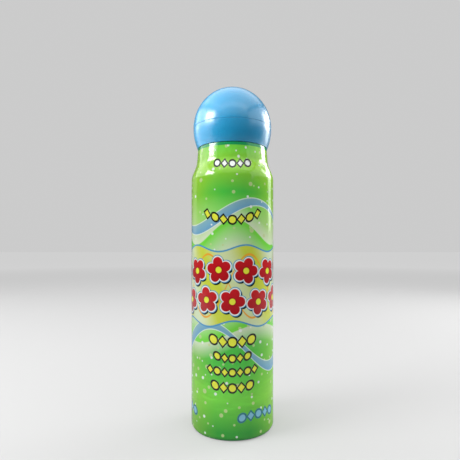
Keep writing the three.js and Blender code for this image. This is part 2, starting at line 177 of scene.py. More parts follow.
# Sizes of the cap, in millimetres
CAP_WALL = 1.3
CAP_FOOT_W = 1.35
CAP_BORE_R = NECK_R + THREAD_DEPTH + RUN
SPIGOT_WALL = 1.0
SPIGOT_R = CAP_BORE_R + SPIGOT_WALL
SPIGOT_GAP = 0.5
BEAD_R = 0.3
EQUATOR_Z = JOINT_Z - FIT / 2
FOOT_DROP = 0.12  # from the foot of the cap's solid to the foot that shows
PARTING_GAP = 0.03
PARTING_BEVEL = 0.06
LINER_STOP_W = 0.8
LINER_STOP_H = 0.8
LINER_STOP_CHAMFER = 0.4
GATE_R = 1.0  # dimple at the cap's top, where the mould was filled
GATE_DEPTH = 0.14
GATE_RIM_W = 0.25
GATE_RIM_DROP = 0.04
GATE_SLOPE_W = 0.18
STUB_R = 0.32  # rest of the inlet's plastic in the dimple
STUB_TOP_R = 0.24
STUB_H = 0.08

GLARE_RECEIVERS = "pieces under the glare"  # collection of what the glare panels light
SAME_POINT = 1e-6  # metres under which a rolled mesh's points are merged
CLOSE_POINTS = 2e-6  # metres under which a cut piece's points are merged
ROUND = 192  # segments of a round piece
SLEEVE_ROUND = 288
FOAM_ROUND = 240
CAP_ROUND = 256
SMALL_ROUND = 96
WIRE_STEPS = 48  # to a turn of the spring
DRILL_ROUND = 32


# Outlines of turned pieces: points of radius and height in millimetres


def arc(centre, radii, from_deg, to_deg, steps):
    """Points of an ellipse's arc."""
    angles = [math.radians(from_deg + (to_deg - from_deg) * i / steps) for i in range(steps + 1)]
    return [(centre[0] + radii[0] * math.cos(a), centre[1] + radii[1] * math.sin(a)) for a in angles]


def loop(points):
    """The outline with its first point again at the end."""
    return [*points, points[0]]


def rounded(points, radius, steps=4, least_turn_deg=20, most_share=0.45):
    """The outline with its corners rounded off, as a mould leaves them. Shallow corners stay.

    One that starts on the axis ends there too and keeps both ends, and any other closes on itself.
    """
    on_axis = points[0][0] == 0
    result = []
    for i, corner in enumerate(points):
        at = Vector(corner)
        back = Vector(points[i - 1]) - at
        ahead = Vector(points[(i + 1) % len(points)]) - at
        is_end = on_axis and i in (0, len(points) - 1)
        opening = math.pi if is_end else back.angle(ahead, math.pi)
        if math.pi - opening < math.radians(least_turn_deg):
            result.append(tuple(at))
            continue
        cut = min(radius / math.tan(opening / 2), most_share * back.length, most_share * ahead.length)
        start = at + back.normalized() * cut
        end = at + ahead.normalized() * cut
        for step in range(steps + 1):
            s = step / steps
            result.append(tuple(start * (1 - s) ** 2 + at * 2 * s * (1 - s) + end * s * s))
    return result if on_axis else loop(result)


def washer(outer_r, inner_r, foot, top):
    """Outline of a flat ring."""
    return [(outer_r, foot), (outer_r, top), (inner_r, top), (inner_r, foot)]


def shoulder(offset, steps):
    """Outside of the S-shaped shoulder, from the straight wall up to the band, moved out by an offset."""
    points = []
    for i in range(steps + 1):
        swing = (1 - math.cos(math.pi * i / steps)) / 2
        radius = BOTTLE_R + (LEDGE_R + BAND_TAPER - BOTTLE_R) * swing
        points.append((radius + offset, BODY_H + SHOULDER_H * i / steps))
    return points


# Node trees


class Field:
    """A value in a node tree. Its sums, products and comparisons add Math nodes."""

    def __init__(self, graph, socket):
        self.graph = graph
        self.socket = socket

    def do(self, operation, *others):
        return self.graph.math(operation, self, *others)

    __add__ = partialmethod(do, "ADD")
    __sub__ = partialmethod(do, "SUBTRACT")
    __mul__ = partialmethod(do, "MULTIPLY")
    __truediv__ = partialmethod(do, "DIVIDE")
    over = partialmethod(do, "FLOORED_MODULO")  # remainder after whole periods, never negative
    power = partialmethod(do, "POWER")
    at_least = partialmethod(do, "MAXIMUM")
    at_most = partialmethod(do, "MINIMUM")
    whole = partialmethod(do, "FLOOR")
    size = partialmethod(do, "ABSOLUTE")
    sin = partialmethod(do, "SINE")
    cos = partialmethod(do, "COSINE")


class Graph:
    """Adds nodes to one tree and links them."""

    def __init__(self, tree):
        self.tree = tree

    def node(self, kind, inputs=None, **settings):
        """A new node, with fields or plain values in its inputs."""
        node = self.tree.nodes.new(kind)
        for name, value in settings.items():
            setattr(node, name, value)
        for socket, value in (inputs or {}).items():
            self.feed(node.inputs[socket], value)
        return node

    def feed(self, socket, value):
        """Links a field into an input, or sets the input's own value."""
        if isinstance(value, Field):
            self.tree.links.new(value.socket, socket)
        else:
            socket.default_value = value

    def get(self, kind, inputs=None, output=0, **settings):
        """One output of a new node."""
        return Field(self, self.node(kind, inputs, **settings).outputs[output])

    def math(self, operation, *values):
        return self.get("ShaderNodeMath", dict(enumerate(values)), operation=operation)

    def parts(self, vector):
        """The three coordinates of a vector."""
        node = self.node("ShaderNodeSeparateXYZ", {"Vector": vector})
        return [Field(self, socket) for socket in node.outputs]

    def vector(self, x=0.0, y=0.0, z=0.0):
        return self.get("ShaderNodeCombineXYZ", {"X": x, "Y": y, "Z": z})

    def length(self, *values):
        """Length of the vector with these coordinates."""
        return self.get("ShaderNodeVectorMath", {0: self.vector(*values)}, "Value", operation="LENGTH")

    def ramp(self, value, low, high, at_low=0.0, at_high=1.0):
        """Runs from one value to another between two limits, and holds them beyond."""
        inputs = {"Value": value, "From Min": low, "From Max": high, "To Min": at_low, "To Max": at_high}
        return self.get("ShaderNodeMapRange", inputs, clamp=True)

    def below(self, value, limit, blur=0.07, most=1.0):
        """The most where a value is under a limit and 0 where it is over, with a soft edge."""
        if isinstance(limit, Field):
            return self.ramp(value - limit, -blur, blur, most, 0.0)
        return self.ramp(value, limit - blur, limit + blur, most, 0.0)

    def noise(self, position, scale, detail=2.0, roughness=0.5):
        inputs = {"Vector": position, "Scale": scale, "Detail": detail, "Roughness": roughness}
        return self.get("ShaderNodeTexNoise", inputs)

    def cells(self, position, scale, randomness=1.0, dimensions="3D"):
        """Distance to the nearest cell's middle, and three numbers that the cell drew by lot."""
        inputs = {"Vector": position, "Scale": scale, "Randomness": randomness}
        node = self.node("ShaderNodeTexVoronoi", inputs, voronoi_dimensions=dimensions)
        return Field(self, node.outputs["Distance"]), Field(self, node.outputs["Color"])

    def mix(self, under, cover, share):
        """Lays one colour over another, in the Mix node's sockets for colours."""
        return self.get("ShaderNodeMix", {0: share, 6: under, 7: cover}, 2, data_type="RGBA")

    def bump(self, height, strength, distance):
        return self.get("ShaderNodeBump", {"Height": height, "Strength": strength, "Distance": distance})


# Geometry Nodes trees


def caption(label):
    """The name of the socket that takes a value."""
    return label.replace("_", " ").capitalize()


def new_tree(name, **inputs):
    """A Geometry Nodes tree with named inputs, the last a material. Returns its graph and its inputs."""
    tree = bpy.data.node_groups.new(name, "GeometryNodeTree")
    inputs["material"] = "Material"
    for label, kind in inputs.items():
        tree.interface.new_socket(caption(label), in_out="INPUT", socket_type="NodeSocket" + kind)
    tree.interface.new_socket("Geometry", in_out="OUTPUT", socket_type="NodeSocketGeometry")
    graph = Graph(tree)
    given = graph.node("NodeGroupInput").outputs
    return graph, SimpleNamespace(**{label: Field(graph, socket) for label, socket in zip(inputs, given)})


def close_tree(graph, geometry, material):
    """Ends a tree in smooth shading, Realize Instances and Set Material."""
    smooth = graph.get("GeometryNodeSetShadeSmooth", {"Geometry": geometry})
    real = graph.get("GeometryNodeRealizeInstances", {"Geometry": smooth})
    painted = graph.get("GeometryNodeSetMaterial", {"Geometry": real, "Material": material})
    graph.node("NodeGroupOutput", {0: painted})
    return graph.tree


def merged(graph, geometry, distance):
    return graph.get("GeometryNodeMergeByDistance", {"Geometry": geometry, "Distance": distance})


def rolled_grid(graph, outline, steps):
    """A grid with a row for each outline point, and with a column for each step and one for the start.

    Returns its mesh and its UV, a point's column, and the radius and height of the point's outline point.
    """
    size = graph.node("GeometryNodeAttributeDomainSize", {"Geometry": outline}, component="MESH")
    rows = Field(graph, size.outputs["Point Count"])
    grid = graph.node("GeometryNodeMeshGrid", {"Vertices X": steps + 1, "Vertices Y": rows})
    index = graph.get("GeometryNodeInputIndex")
    column = (index / rows).whole()
    position = graph.get("GeometryNodeInputPosition")
    inputs = {"Geometry": outline, "Value": position, "Index": index - column * rows}
    point = graph.get("GeometryNodeSampleIndex", inputs, data_type="FLOAT_VECTOR", domain="POINT")
    radius, _, height = graph.parts(point)
    return Field(graph, grid.outputs[0]), Field(graph, grid.outputs[1]), column, radius, height


@cache
def turned_tree():
    """Turns an outline about +Z, from the back round the left, the front and the right.

    The UV map holds the way round the sleeve and the height.
    """
    graph, given = new_tree("turned piece", outline="Geometry", segments="Int")
    mesh, grid_uv, column, radius, height = rolled_grid(graph, given.outline, given.segments)
    angle = column / given.segments * TURN
    spot = graph.vector(radius * angle.sin() * -1, radius * angle.cos(), height)
    rolled = graph.get("GeometryNodeSetPosition", {"Geometry": mesh, "Position": spot})
    share = graph.parts(grid_uv)[0]
    up = graph.parts(graph.get("GeometryNodeInputPosition"))[2]
    uv = graph.vector(share * (GIRTH / UV_MM), up / (UV_MM * MM))
    inputs = {"Geometry": rolled, "Name": "print", "Value": uv}
    stored = graph.get("GeometryNodeStoreNamedAttribute", inputs, data_type="FLOAT2", domain="CORNER")
    return close_tree(graph, merged(graph, stored, SAME_POINT), given.material)


@cache
def helix_tree():
    """Sweeps a section along a helix about +Z, with closed turns at both ends if they are asked for.

    The section grows over the fade steps. Its first and last columns shrink to a point and shut the ends.
    """
    graph, given = new_tree(
        "helical sweep", section="Geometry", radius="Float", start_height="Float", start_angle="Float",
        turns="Float", pitch="Float", closed_turns="Float", closed_pitch="Float", steps="Int",
        fade_steps="Int",
    )
    mesh, _, column, out, up = rolled_grid(graph, given.section, given.steps)
    way = ((column - 1) / (given.steps - 2)).at_least(0.0).at_most(1.0)
    wound = way * given.turns
    past_first = (wound - given.closed_turns).at_least(0.0)
    in_open = past_first.at_most(given.turns - given.closed_turns * 2)
    rise = in_open * given.pitch + (wound - in_open) * given.closed_pitch
    from_end = column.at_most(given.steps - column)
    growth = (from_end / given.fade_steps).at_most(1.0)
    angle = given.start_angle + wound * TURN
    radius = given.radius + out * growth
    height = given.start_height + rise + up * growth
    spot = graph.vector(radius * angle.cos(), radius * angle.sin(), height)
    swept = graph.get("GeometryNodeSetPosition", {"Geometry": mesh, "Position": spot})
    return close_tree(graph, merged(graph, swept, SAME_POINT), given.material)


@cache
def drill_tree():
    """Cuts a ring of upright round holes through a piece."""
    graph, given = new_tree(
        "drilled piece", piece="Geometry", holes="Int", ring_radius="Float", hole_radius="Float",
        foot="Float", top="Float",
    )
    ring = graph.get("GeometryNodeMeshCircle", {"Vertices": given.holes, "Radius": given.ring_radius})
    half_step = graph.vector(z=graph.math("DIVIDE", math.pi, given.holes))
    middles = graph.get("GeometryNodeTransform", {"Geometry": ring, "Rotation": half_step})
    inputs = {"Vertices": DRILL_ROUND, "Radius": given.hole_radius, "Depth": given.top - given.foot}
    cutter = graph.get("GeometryNodeMeshCylinder", inputs)
    lift = graph.vector(z=(given.top + given.foot) / 2)
    raised = graph.get("GeometryNodeTransform", {"Geometry": cutter, "Translation": lift})
    cutters = graph.get("GeometryNodeInstanceOnPoints", {"Points": middles, "Instance": raised})
    solid = graph.get("GeometryNodeRealizeInstances", {"Geometry": cutters})
    cut = graph.node("GeometryNodeMeshBoolean", operation="DIFFERENCE", solver="EXACT")
    graph.feed(cut.inputs["Mesh 1"], given.piece)
    graph.feed(cut.inputs["Mesh 2"], solid)
    return close_tree(graph, merged(graph, Field(graph, cut.outputs[0]), CLOSE_POINTS), given.material)


def outward(graph):
    """How far a point's normal faces away from the axis, and the unit vector away from the axis."""
    x, y, _ = graph.parts(graph.get("GeometryNodeInputPosition"))
    away = graph.get("ShaderNodeVectorMath", {0: graph.vector(x, y)}, operation="NORMALIZE")
    inputs = {0: graph.get("GeometryNodeInputNormal"), 1: away}
    return graph.get("ShaderNodeVectorMath", inputs, "Value", operation="DOT_PRODUCT"), away


def pushed_in(graph, geometry, direction, depth):
    """Moves a mesh's points against a direction."""
    shift = graph.get("ShaderNodeVectorMath", {0: direction, "Scale": depth * -1}, operation="SCALE")
    return graph.get("GeometryNodeSetPosition", {"Geometry": geometry, "Offset": shift})


@cache
def film_tree():
    """Gives a turned sleeve the marks of shrinking: ripples, creases and a lapped seam at the back.

    The outside only moves inwards, so that the film keeps its size.
    """
    graph, given = new_tree(
        "shrunk film", sleeve="Geometry", ripple_depth="Float", wall_depth="Float", crease_depth="Float",
        shoulder_foot="Float", film_top="Float", lap_width="Float", lap_step="Float",
    )
    facing, away = outward(graph)
    x, y, z = graph.parts(graph.get("GeometryNodeInputPosition"))
    outside = graph.ramp(facing, 0.2, 0.5)
    on_shoulder = graph.ramp(z, given.shoulder_foot - 4 * MM, given.shoulder_foot + 3 * MM)
    near_top = graph.ramp(z, given.film_top - 1.5 * MM, given.film_top - 0.4 * MM, 1.0, 0.0)
    off_hem = graph.ramp(z, 2 * MM, 5 * MM)
    near_foot = graph.ramp(z, 7 * MM, 10 * MM) * graph.ramp(z, 17 * MM, 22 * MM, 1.0, 0.0)
    puckers = graph.ramp(graph.noise(graph.vector(x, y, z * 0.45), 210.0, 2.0, 0.55), 0.38, 0.68)
    swells = graph.ramp(graph.noise(graph.vector(x, y, z * 0.6), 75.0, 1.0), 0.3, 0.7)
    creases = graph.ramp(graph.noise(graph.vector(x * 0.22, y * 0.22, z), 520.0, 1.0), 0.52, 0.66) * near_foot
    ripples = puckers * on_shoulder * given.ripple_depth + swells * given.wall_depth
    ripples = ripples + creases * given.crease_depth
    behind = graph.ramp(y, 0.0, 1 * MM)
    off_lap = graph.ramp(x.size(), given.lap_width / 2, given.lap_width / 2 + 0.25 * MM)
    plain = off_lap.at_least(behind * -1 + 1)
    depth = (ripples * near_top * off_hem + plain * given.lap_step) * outside
    return close_tree(graph, pushed_in(graph, given.sleeve, away, depth), given.material)


@cache
def foam_tree():
    """Gives a turned foam piece an uneven skin that only moves inwards, with open pores in it."""
    graph, given = new_tree(
        "foam skin", piece="Geometry", pore_depth="Float", pore_scale="Float", unevenness="Float",
    )
    position = graph.get("GeometryNodeInputPosition")
    normal = graph.get("GeometryNodeInputNormal")
    outside = graph.ramp(outward(graph)[0].at_least(graph.parts(normal)[2]), 0.15, 0.4)
    on_dome = graph.ramp(graph.parts(position)[2], (FOAM_FOOT + 1.2) * MM, (FOAM_FOOT + 2.0) * MM)
    pores = graph.ramp(graph.cells(position, given.pore_scale)[0], 0.1, 0.42, 1.0, 0.0)
    swells = graph.noise(position, 260.0, 1.0)
    depth = (pores * given.pore_depth + swells * given.unevenness) * outside * on_dome
    return close_tree(graph, pushed_in(graph, given.piece, normal, depth), given.material)


def run_tree(piece, tree, material, **values):
    """Runs a tree on a mesh object and leaves the result in it as a plain mesh."""
    modifier = piece.modifiers.new(tree.name, "NODES")
    modifier.node_group = tree
    sockets = {s.name: s.identifier for s in tree.interface.items_tree if s.in_out == "INPUT"}
    for label, value in {"material": material, **values}.items():
        modifier[sockets[caption(label)]] = value
    bake(piece)


def bake(piece, sharp_deg=40):
    """Turns a piece's modifiers into its plain mesh, with its sharp edges marked."""
    bpy.context.view_layer.update()
    graph = bpy.context.evaluated_depsgraph_get()
    final = piece.evaluated_get(graph)
    mesh = bpy.data.meshes.new_from_object(final, preserve_all_data_layers=True, depsgraph=graph)
    piece.modifiers.clear()
    piece.data = mesh
    mesh.name = piece.name
    mesh.set_sharp_from_angle(angle=math.radians(sharp_deg))


# Making and placing pieces


def new_object(name, data):
    """An object in the scene."""
    item = bpy.data.objects.new(name, data)
    bpy.context.scene.collection.objects.link(item)
    return item


def outline_object(name, points):
    """A mesh object of an outline's points, with radius along X and height along Z."""
    mesh = bpy.data.meshes.new(name)
    mesh.from_pydata([(r * MM, 0.0, z * MM) for r, z in points], [], [])
    return new_object(name, mesh)


def turned(name, outline, material, edge_r=0.0, segments=ROUND):
    """A piece turned from its outline, with rounded edges where they have a radius."""
    piece = outline_object(name, rounded(outline, edge_r) if edge_r else outline)
    run_tree(piece, turned_tree(), material, segments=segments)
    return piece


def weld(piece, other):
    """Makes one closed mesh of two that overlap."""
    union = piece.modifiers.new("weld", "BOOLEAN")
    union.operation = "UNION"
    union.solver = "EXACT"
    union.object = other
    close = piece.modifiers.new("close points", "WELD")
    close.merge_threshold = CLOSE_POINTS
    bake(piece)
    bpy.data.objects.remove(other)


def add_thread(piece, material, wall_r, outwards, start_z, start_angle):
    """Joins a helical ridge of rounded trapezoid section to a turned wall, as one closed mesh."""
    side = 1 if outwards else -1
    sink = -THREAD_SINK * side
    crest = THREAD_DEPTH * side
    section = [(sink, -THREAD_ROOT_W / 2), (crest, -THREAD_CREST_W / 2)]
    section += [(out, -up) for out, up in reversed(section)]
    ridge = outline_object(piece.name + ".ridge", rounded(section[::side], THREAD_EDGE_R))
    turns = (THREAD_END - start_z) / THREAD_PITCH
    run_tree(
        ridge, helix_tree(), material, radius=wall_r * MM, start_height=start_z * MM,
        start_angle=start_angle, turns=turns, pitch=THREAD_PITCH * MM, closed_turns=0.0, closed_pitch=0.0,
        steps=math.ceil(turns * SMALL_ROUND), fade_steps=THREAD_FADE_STEPS,
    )
    weld(piece, ridge)


def drill(piece, material, ring_r, hole_r, foot, top):
    """Cuts upright holes between two heights through a piece."""
    run_tree(
        piece, drill_tree(), material, holes=HOLES, ring_radius=ring_r * MM, hole_radius=hole_r * MM,
        foot=foot * MM, top=top * MM,
    )


def place(piece, body, node):
    """Puts a finished piece on its body, in the place of its CAD node."""
    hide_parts(node)
    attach(piece, body)


def squash(piece):
    """Gives a piece its own copy of its mesh."""
    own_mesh(piece)


# Materials


class Finish(Graph):
    """A new material with a Principled shader. The name of a colour setting stands for its colour."""

    def __init__(self, name, roughness=0.4, settings="glue_bottle_look"):
        self.material = bpy.data.materials.new(name)
        self.material.use_nodes = True
        super().__init__(self.material.node_tree)
        self.settings = getattr(bpy.context.scene, settings)
        self.position = self.get("ShaderNodeTexCoord", output="Object")
        self.dress({"Roughness": roughness})

    def feed(self, socket, value):
        super().feed(socket, getattr(self.settings, value) if isinstance(value, str) else value)

    def dress(self, values):
        """Feeds the shader's inputs, and returns the material."""
        shader = self.tree.nodes["Principled BSDF"]
        for name, value in values.items():
            self.feed(shader.inputs[name], value)
        return self.material

    def flow(self, rise, scale, detail=2.0, roughness=0.5):
        """Noise that is drawn out upwards where rise is under 1, and flattened where it is over 1."""
        x, y, z = self.parts(self.position)
        return self.noise(self.vector(x, y, z * rise), scale, detail, roughness)

    def pores(self, scale, low, high):
        """0 in the middle of small cells and 1 between them."""
        return self.ramp(self.cells(self.position, scale)[0], low, high)


class SleeveFilm(Finish):
    """Glossy film over a generic print. Motifs are laid one over the other, with sizes in millimetres."""

    def __init__(self):
        super().__init__("sleeve_film", settings="glue_bottle_sleeve")
        share, height, _ = self.parts(self.get("ShaderNodeUVMap", uv_map="print"))
        self.around = share * UV_MM - GIRTH / 2
        self.up = height * UV_MM
        self.colour = self.ground()

    def lay(self, tint, share):
        """Lays a colour over the print so far."""
        self.colour = self.mix(self.colour, tint, share)

    def fill(self, tint, value, limit, blur=0.07, strength=1.0):
        """Lays a colour where a value is under a limit."""
        self.lay(tint, self.below(value, limit, blur, strength))

    def wave(self, centre, swing, waves, phase=0.0):
        """Height of a wave that closes on itself round the sleeve."""
        return (self.around * (TURN * waves / GIRTH) + phase).sin() * swing + centre

    def ground(self):
        """Bands of green from the foot to the top, by their share of 100 mm."""
        stops = {
            0.03: "green_deep", 0.14: "green_leaf", 0.26: "green_mid", 0.38: "green_mid",
            0.50: "green_pale", 0.66: "green_pale", 0.76: "green_leaf", 0.83: "green_mid",
            0.92: "green_lime", 0.98: "green_leaf",
        }
        bands = self.node("ShaderNodeValToRGB", {"Fac": self.up / 100})
        elements = bands.color_ramp.elements
        while len(elements) < len(stops):
            elements.new(0.5)
        for element, (position, tint) in zip(elements, stops.items()):
            element.position = position
            element.color = getattr(self.settings, tint)
        return Field(self, bands.outputs[0])

    def ribbon(self, centre, swing, waves, phase, width):
        """A waved ribbon with fine pale edges."""
        rise = self.up - self.wave(centre, swing, waves, phase)
        broad = self.wave(width, width * 0.45, waves, phase + 1.9)
        self.fill("outline_white", rise.size(), broad + 0.3, blur=0.1, strength=0.75)
        shade = self.mix("ribbon_blue", "ribbon_pale", self.ramp(rise, -2.0, 2.4))
        self.fill(shade, rise.size(), broad, blur=0.1, strength=0.9)

    def hills(self, centre, swing, waves, phase, rise):
        """Rounded green fields with a soft pale rim, which point up (1) or down (-1)."""
        beyond = (self.up - self.wave(centre, swing, waves, phase)) * rise
        self.lay("glow", self.ramp(beyond.size(), 0.4, 5.5, 0.95, 0.0))
        field = self.mix("green_leaf", "glow", self.ramp(beyond, -10.0, -1.0, 1.0, 0.0))
        self.lay(field, self.below(beyond, 0.0, 0.12) * self.ramp(beyond, -17.0, -16.0))

    def petals(self, x, y, radius, turn, number=5):
        """Distance to the edge of a rosette's round petals, below 0 inside them."""
        angle = self.math("ARCTAN2", y, x) + turn
        lobe = (angle * (number / 2)).cos().size().power(0.75)
        return self.length(x, y) - (lobe * (0.36 * radius) + 0.64 * radius)

    def rosettes(self, centre, shift, radius=4.35, number=10):
        """A row of red rosettes with pale outlines and a dark shadow."""
        pitch = GIRTH / number
        along = self.around + shift * pitch
        cell = (along / pitch).whole()
        turn = cell * 1.7
        x = along.over(pitch) - pitch / 2
        y = self.up - centre + (cell * 2.1).sin() * 0.35
        middle = self.length(x, y)
        shape = self.petals(x, y, radius, turn)
        red = self.mix("rosette_red", "rosette_dark", self.ramp(y, -radius, radius, 0.85, 0.0))
        self.fill("shadow_black", self.petals(x - 0.42, y + 0.5, radius, turn), 0.62, blur=0.08)
        self.fill("ribbon_blue", shape, 0.72)
        self.fill("outline_white", shape, 0.42)
        self.fill(red, shape, 0.0)
        self.fill("rosette_dark", middle, 0.33 * radius)
        self.fill("bead_yellow", middle, 0.24 * radius)

    def beads(self, tint, outline, centre, sag, each_side, pitch, radius, shift=0.0, panels=3):
        """Hung strings of outlined beads, one to a panel, with some beads on each side of a middle one."""
        width = GIRTH / panels
        x = (self.around + (shift + width / 2)).over(width) - width / 2
        number = (x / pitch + 0.5).whole().at_least(-each_side).at_most(each_side)
        step = x - number * pitch
        off = self.up - (x * x * (sag / (each_side * pitch) ** 2) + centre)
        bead = self.length(step, off)
        diamond = (step.size() * 1.15 + off.size()) * 0.86
        shape = bead + (diamond - bead) * number.over(2.0)
        self.fill(outline, shape, radius + 0.62)
        self.fill(tint, shape, radius)

    def dots(self, tint, scale, least, most, share, strength, shift=0.0):
        """Round dots of several sizes, scattered with one to a cell at most."""
        spot = self.vector(self.around + shift, self.up)
        distance, drawn = self.cells(spot, scale, 0.85, "2D")
        lot, size, _ = self.parts(drawn)
        radius = self.ramp(size, 0.0, 1.0, least * scale, most * scale)
        there = self.below(lot, share, 0.001, strength)
        self.lay(tint, self.below(distance, radius, 0.09 * scale) * there)

    def band(self, lean, cloud):
        """The pale yellow band between two waves, with fine orange lines and two rows of rosettes."""
        over_top = self.up - self.wave(centre=63.8, swing=1.1, waves=5)
        under_foot = self.wave(centre=39.2, swing=1.1, waves=5, phase=1.4) - self.up
        beyond = over_top.at_least(under_foot)
        slant = (self.around * (TURN * 5 / GIRTH) + self.up * 0.14).sin() * 0.5
        paleness = self.ramp(slant + lean * 0.5 + cloud, 0.25, 1.25)
        self.fill("ribbon_blue", beyond, 0.55, blur=0.08)
        self.fill(self.mix("band_lime", "glow", paleness), beyond, 0.0, blur=0.08)
        for phase in (0.4, 3.3):
            line = self.up - self.wave(centre=51.5, swing=10.6, waves=3, phase=phase)
            self.fill("line_orange", line.size(), 0.34, blur=0.08)
        self.rosettes(centre=56.6, shift=0.0)
        self.rosettes(centre=46.4, shift=0.5)

    def strings(self):
        """The strings of beads, yellow ones over and under the band, white ones above and blue ones below."""
        for centre, sag, each_side, pitch, radius in (
            (73.5, 2.2, 3, 3.0, 1.1),
            (33.0, 0.7, 2, 3.3, 1.3),
            (27.6, 0.7, 2, 2.6, 0.95),
            (23.0, 0.7, 3, 2.6, 0.95),
            (17.8, 0.7, 2, 3.0, 1.15),
        ):
            self.beads("bead_yellow", "shadow_black", centre, sag, each_side, pitch, radius)
        self.beads("outline_white", "shadow_black", centre=92.4, sag=0.4, each_side=2, pitch=2.9, radius=0.95)
        self.beads(
            "bead_blue", "bead_blue_edge", centre=8.4, sag=-0.5, each_side=2, pitch=3.1, radius=1.1,
            shift=-9.5,
        )

    def edges(self):
        """The lap's paler film and its seam at the back, and the green lines at the top and the hem; the band
        at the top is partly painted shade under the cap's foot.
        """
        seam = GIRTH / 2 - self.settings.lap_width / 2 / MM
        self.lay("outline_white", self.ramp(self.around.size(), seam - 0.1, seam + 0.1, 0.0, 0.22))
        self.fill("edge_and_shade_green", (self.around - seam).size(), 0.14, blur=0.05, strength=0.8)
        # Darker green band along the top edge, just under the cap's foot: partly the film's edge line, partly
        # painted shade from the cap's foot.
        self.lay("edge_and_shade_green", self.ramp(self.up, SLEEVE_TOP - 1.1, SLEEVE_TOP - 0.95))
        self.lay("edge_and_shade_green", self.ramp(self.up, 0.55, 0.9, 0.5, 0.0))

    def full_print(self):
        """The whole print's colour, with painted light that makes the right side of the sleeve lighter than
        the left.
        """
        lean = self.ramp((self.around * (TURN * 2 / GIRTH)).cos(), -1.0, 1.0, 1.0, 0.0)
        cloud = self.noise(self.vector(self.around, self.up), 0.045)
        to_side = self.ramp(lean + cloud * 0.6, 0.4, 1.1) * self.ramp(self.up, 30.0, 80.0, 0.6, 1.0)
        in_glow = self.ramp((self.up - 56).size(), 8.0, 26.0, 1.0, 0.0)
        self.lay("green_side", to_side * 0.85)
        self.lay("glow", in_glow * self.ramp(cloud + lean * 0.3, 0.3, 0.85))
        self.hills(centre=69.5, swing=4.2, waves=3, phase=1.4, rise=1)
        self.hills(centre=35.2, swing=3.4, waves=2, phase=0.3, rise=-1)
        self.dots("dot_pale", scale=0.2, least=0.32, most=0.72, share=0.62, strength=0.8)
        self.dots("dot_pale", scale=0.11, least=0.55, most=0.85, share=0.38, strength=0.8, shift=3.4)
        self.ribbon(centre=75.0, swing=4.6, waves=2, phase=0.5, width=1.3)
        self.dots("outline_white", scale=0.24, least=0.2, most=0.55, share=0.48, strength=0.88, shift=7.3)
        self.ribbon(centre=31.0, swing=7.5, waves=2, phase=2.6, width=1.5)
        self.band(lean, cloud)
        self.strings()
        self.edges()
        # Painted light: the print's brightness rises towards the right side of the sleeve and falls towards
        # the left.
        painted_side_light = (self.around * (TURN / GIRTH)).sin() * 0.29 + 1
        return self.get("ShaderNodeHueSaturation", {"Value": painted_side_light, "Color": self.colour})


def sleeve_film():
    """The printed film, with the fine unevenness of shrunk film."""
    film = SleeveFilm()
    haze = film.flow(0.5, 420.0, 3.0)
    relief = film.flow(0.35, 900.0) * 0.25 + film.flow(0.7, 160.0)
    return film.dress({
        "Base Color": film.full_print(),
        "Roughness": film.ramp(haze, 0.3, 0.7, 0.06, 0.13),
        "Normal": film.bump(relief, 0.35, 0.00012),
        "IOR": 1.54,
    })


def moulded(name, colour, shade, roughness, grain=1.0, glow=0.0, glow_depth=0.001):
    """Moulded plastic: a slightly uneven colour, faint flow marks, a fine grain and light inside it."""
    finish = Finish(name)
    flow = finish.flow(0.4, 140.0, 3.0, 0.55)
    marks = finish.flow(3.0, 700.0, 3.0, 0.6)
    return finish.dress({
        "Base Color": finish.mix(colour, shade, finish.ramp(flow, 0.35, 0.75)),
        "Roughness": finish.ramp(marks, 0.25, 0.75, roughness - 0.05, roughness + 0.09),
        "Normal": finish.bump(marks + flow * 0.6, 0.18 * grain, 0.00006),
        "IOR": 1.5,
        "Subsurface Weight": glow,
        "Subsurface Scale": glow_depth,
    })


@cache
def bottle_plastic():
    """Blow-moulded bottle plastic, waxy and slightly uneven."""
    return moulded("bottle_white", "bottle_colour", "bottle_shade", 0.42, grain=1.6, glow=0.25)


@cache
def white_moulding():
    return moulded("white_moulding", "white_colour", "white_shade", 0.36)


@cache
def natural_moulding():
    """Unpigmented plastic, which lets a little light through."""
    return moulded("natural_moulding", "natural_colour", "natural_shade", 0.3, glow=0.4, glow_depth=0.0015)


@cache
def cap_plastic():
    """Glossy coloured plastic of the cap, with faint rub marks round it from opening and closing."""
    finish = Finish("cap_blue")
    x, y, z = finish.parts(finish.position)
    angle = finish.math("ARCTAN2", y, x)
    rub = finish.noise(finish.vector(angle * 0.004, z), 2600.0, 2.0, 0.7)
    patches = finish.ramp(finish.noise(finish.position, 210.0), 0.48, 0.66)
    waves = finish.noise(finish.position, 130.0, 1.0)
    relief = finish.bump(waves + rub * patches * 0.04, 0.3, 0.00008)
    return finish.dress({
        "Base Color": finish.mix("cap_colour", "cap_shade", finish.ramp(finish.flow(0.6, 90.0), 0.3, 0.75)),
        "Roughness": finish.ramp(rub * patches, 0.3, 0.62, 0.34, 0.44),
        "Normal": relief,
        "Coat Normal": relief,
        "IOR": 1.45,
        "Coat Weight": 1.0,
        "Coat IOR": 1.6,
        "Coat Roughness": 0.2,
        "Subsurface Weight": 0.12,
        "Subsurface Radius": (0.4, 0.8, 1.0),
        "Subsurface Scale": 0.0012,
    })


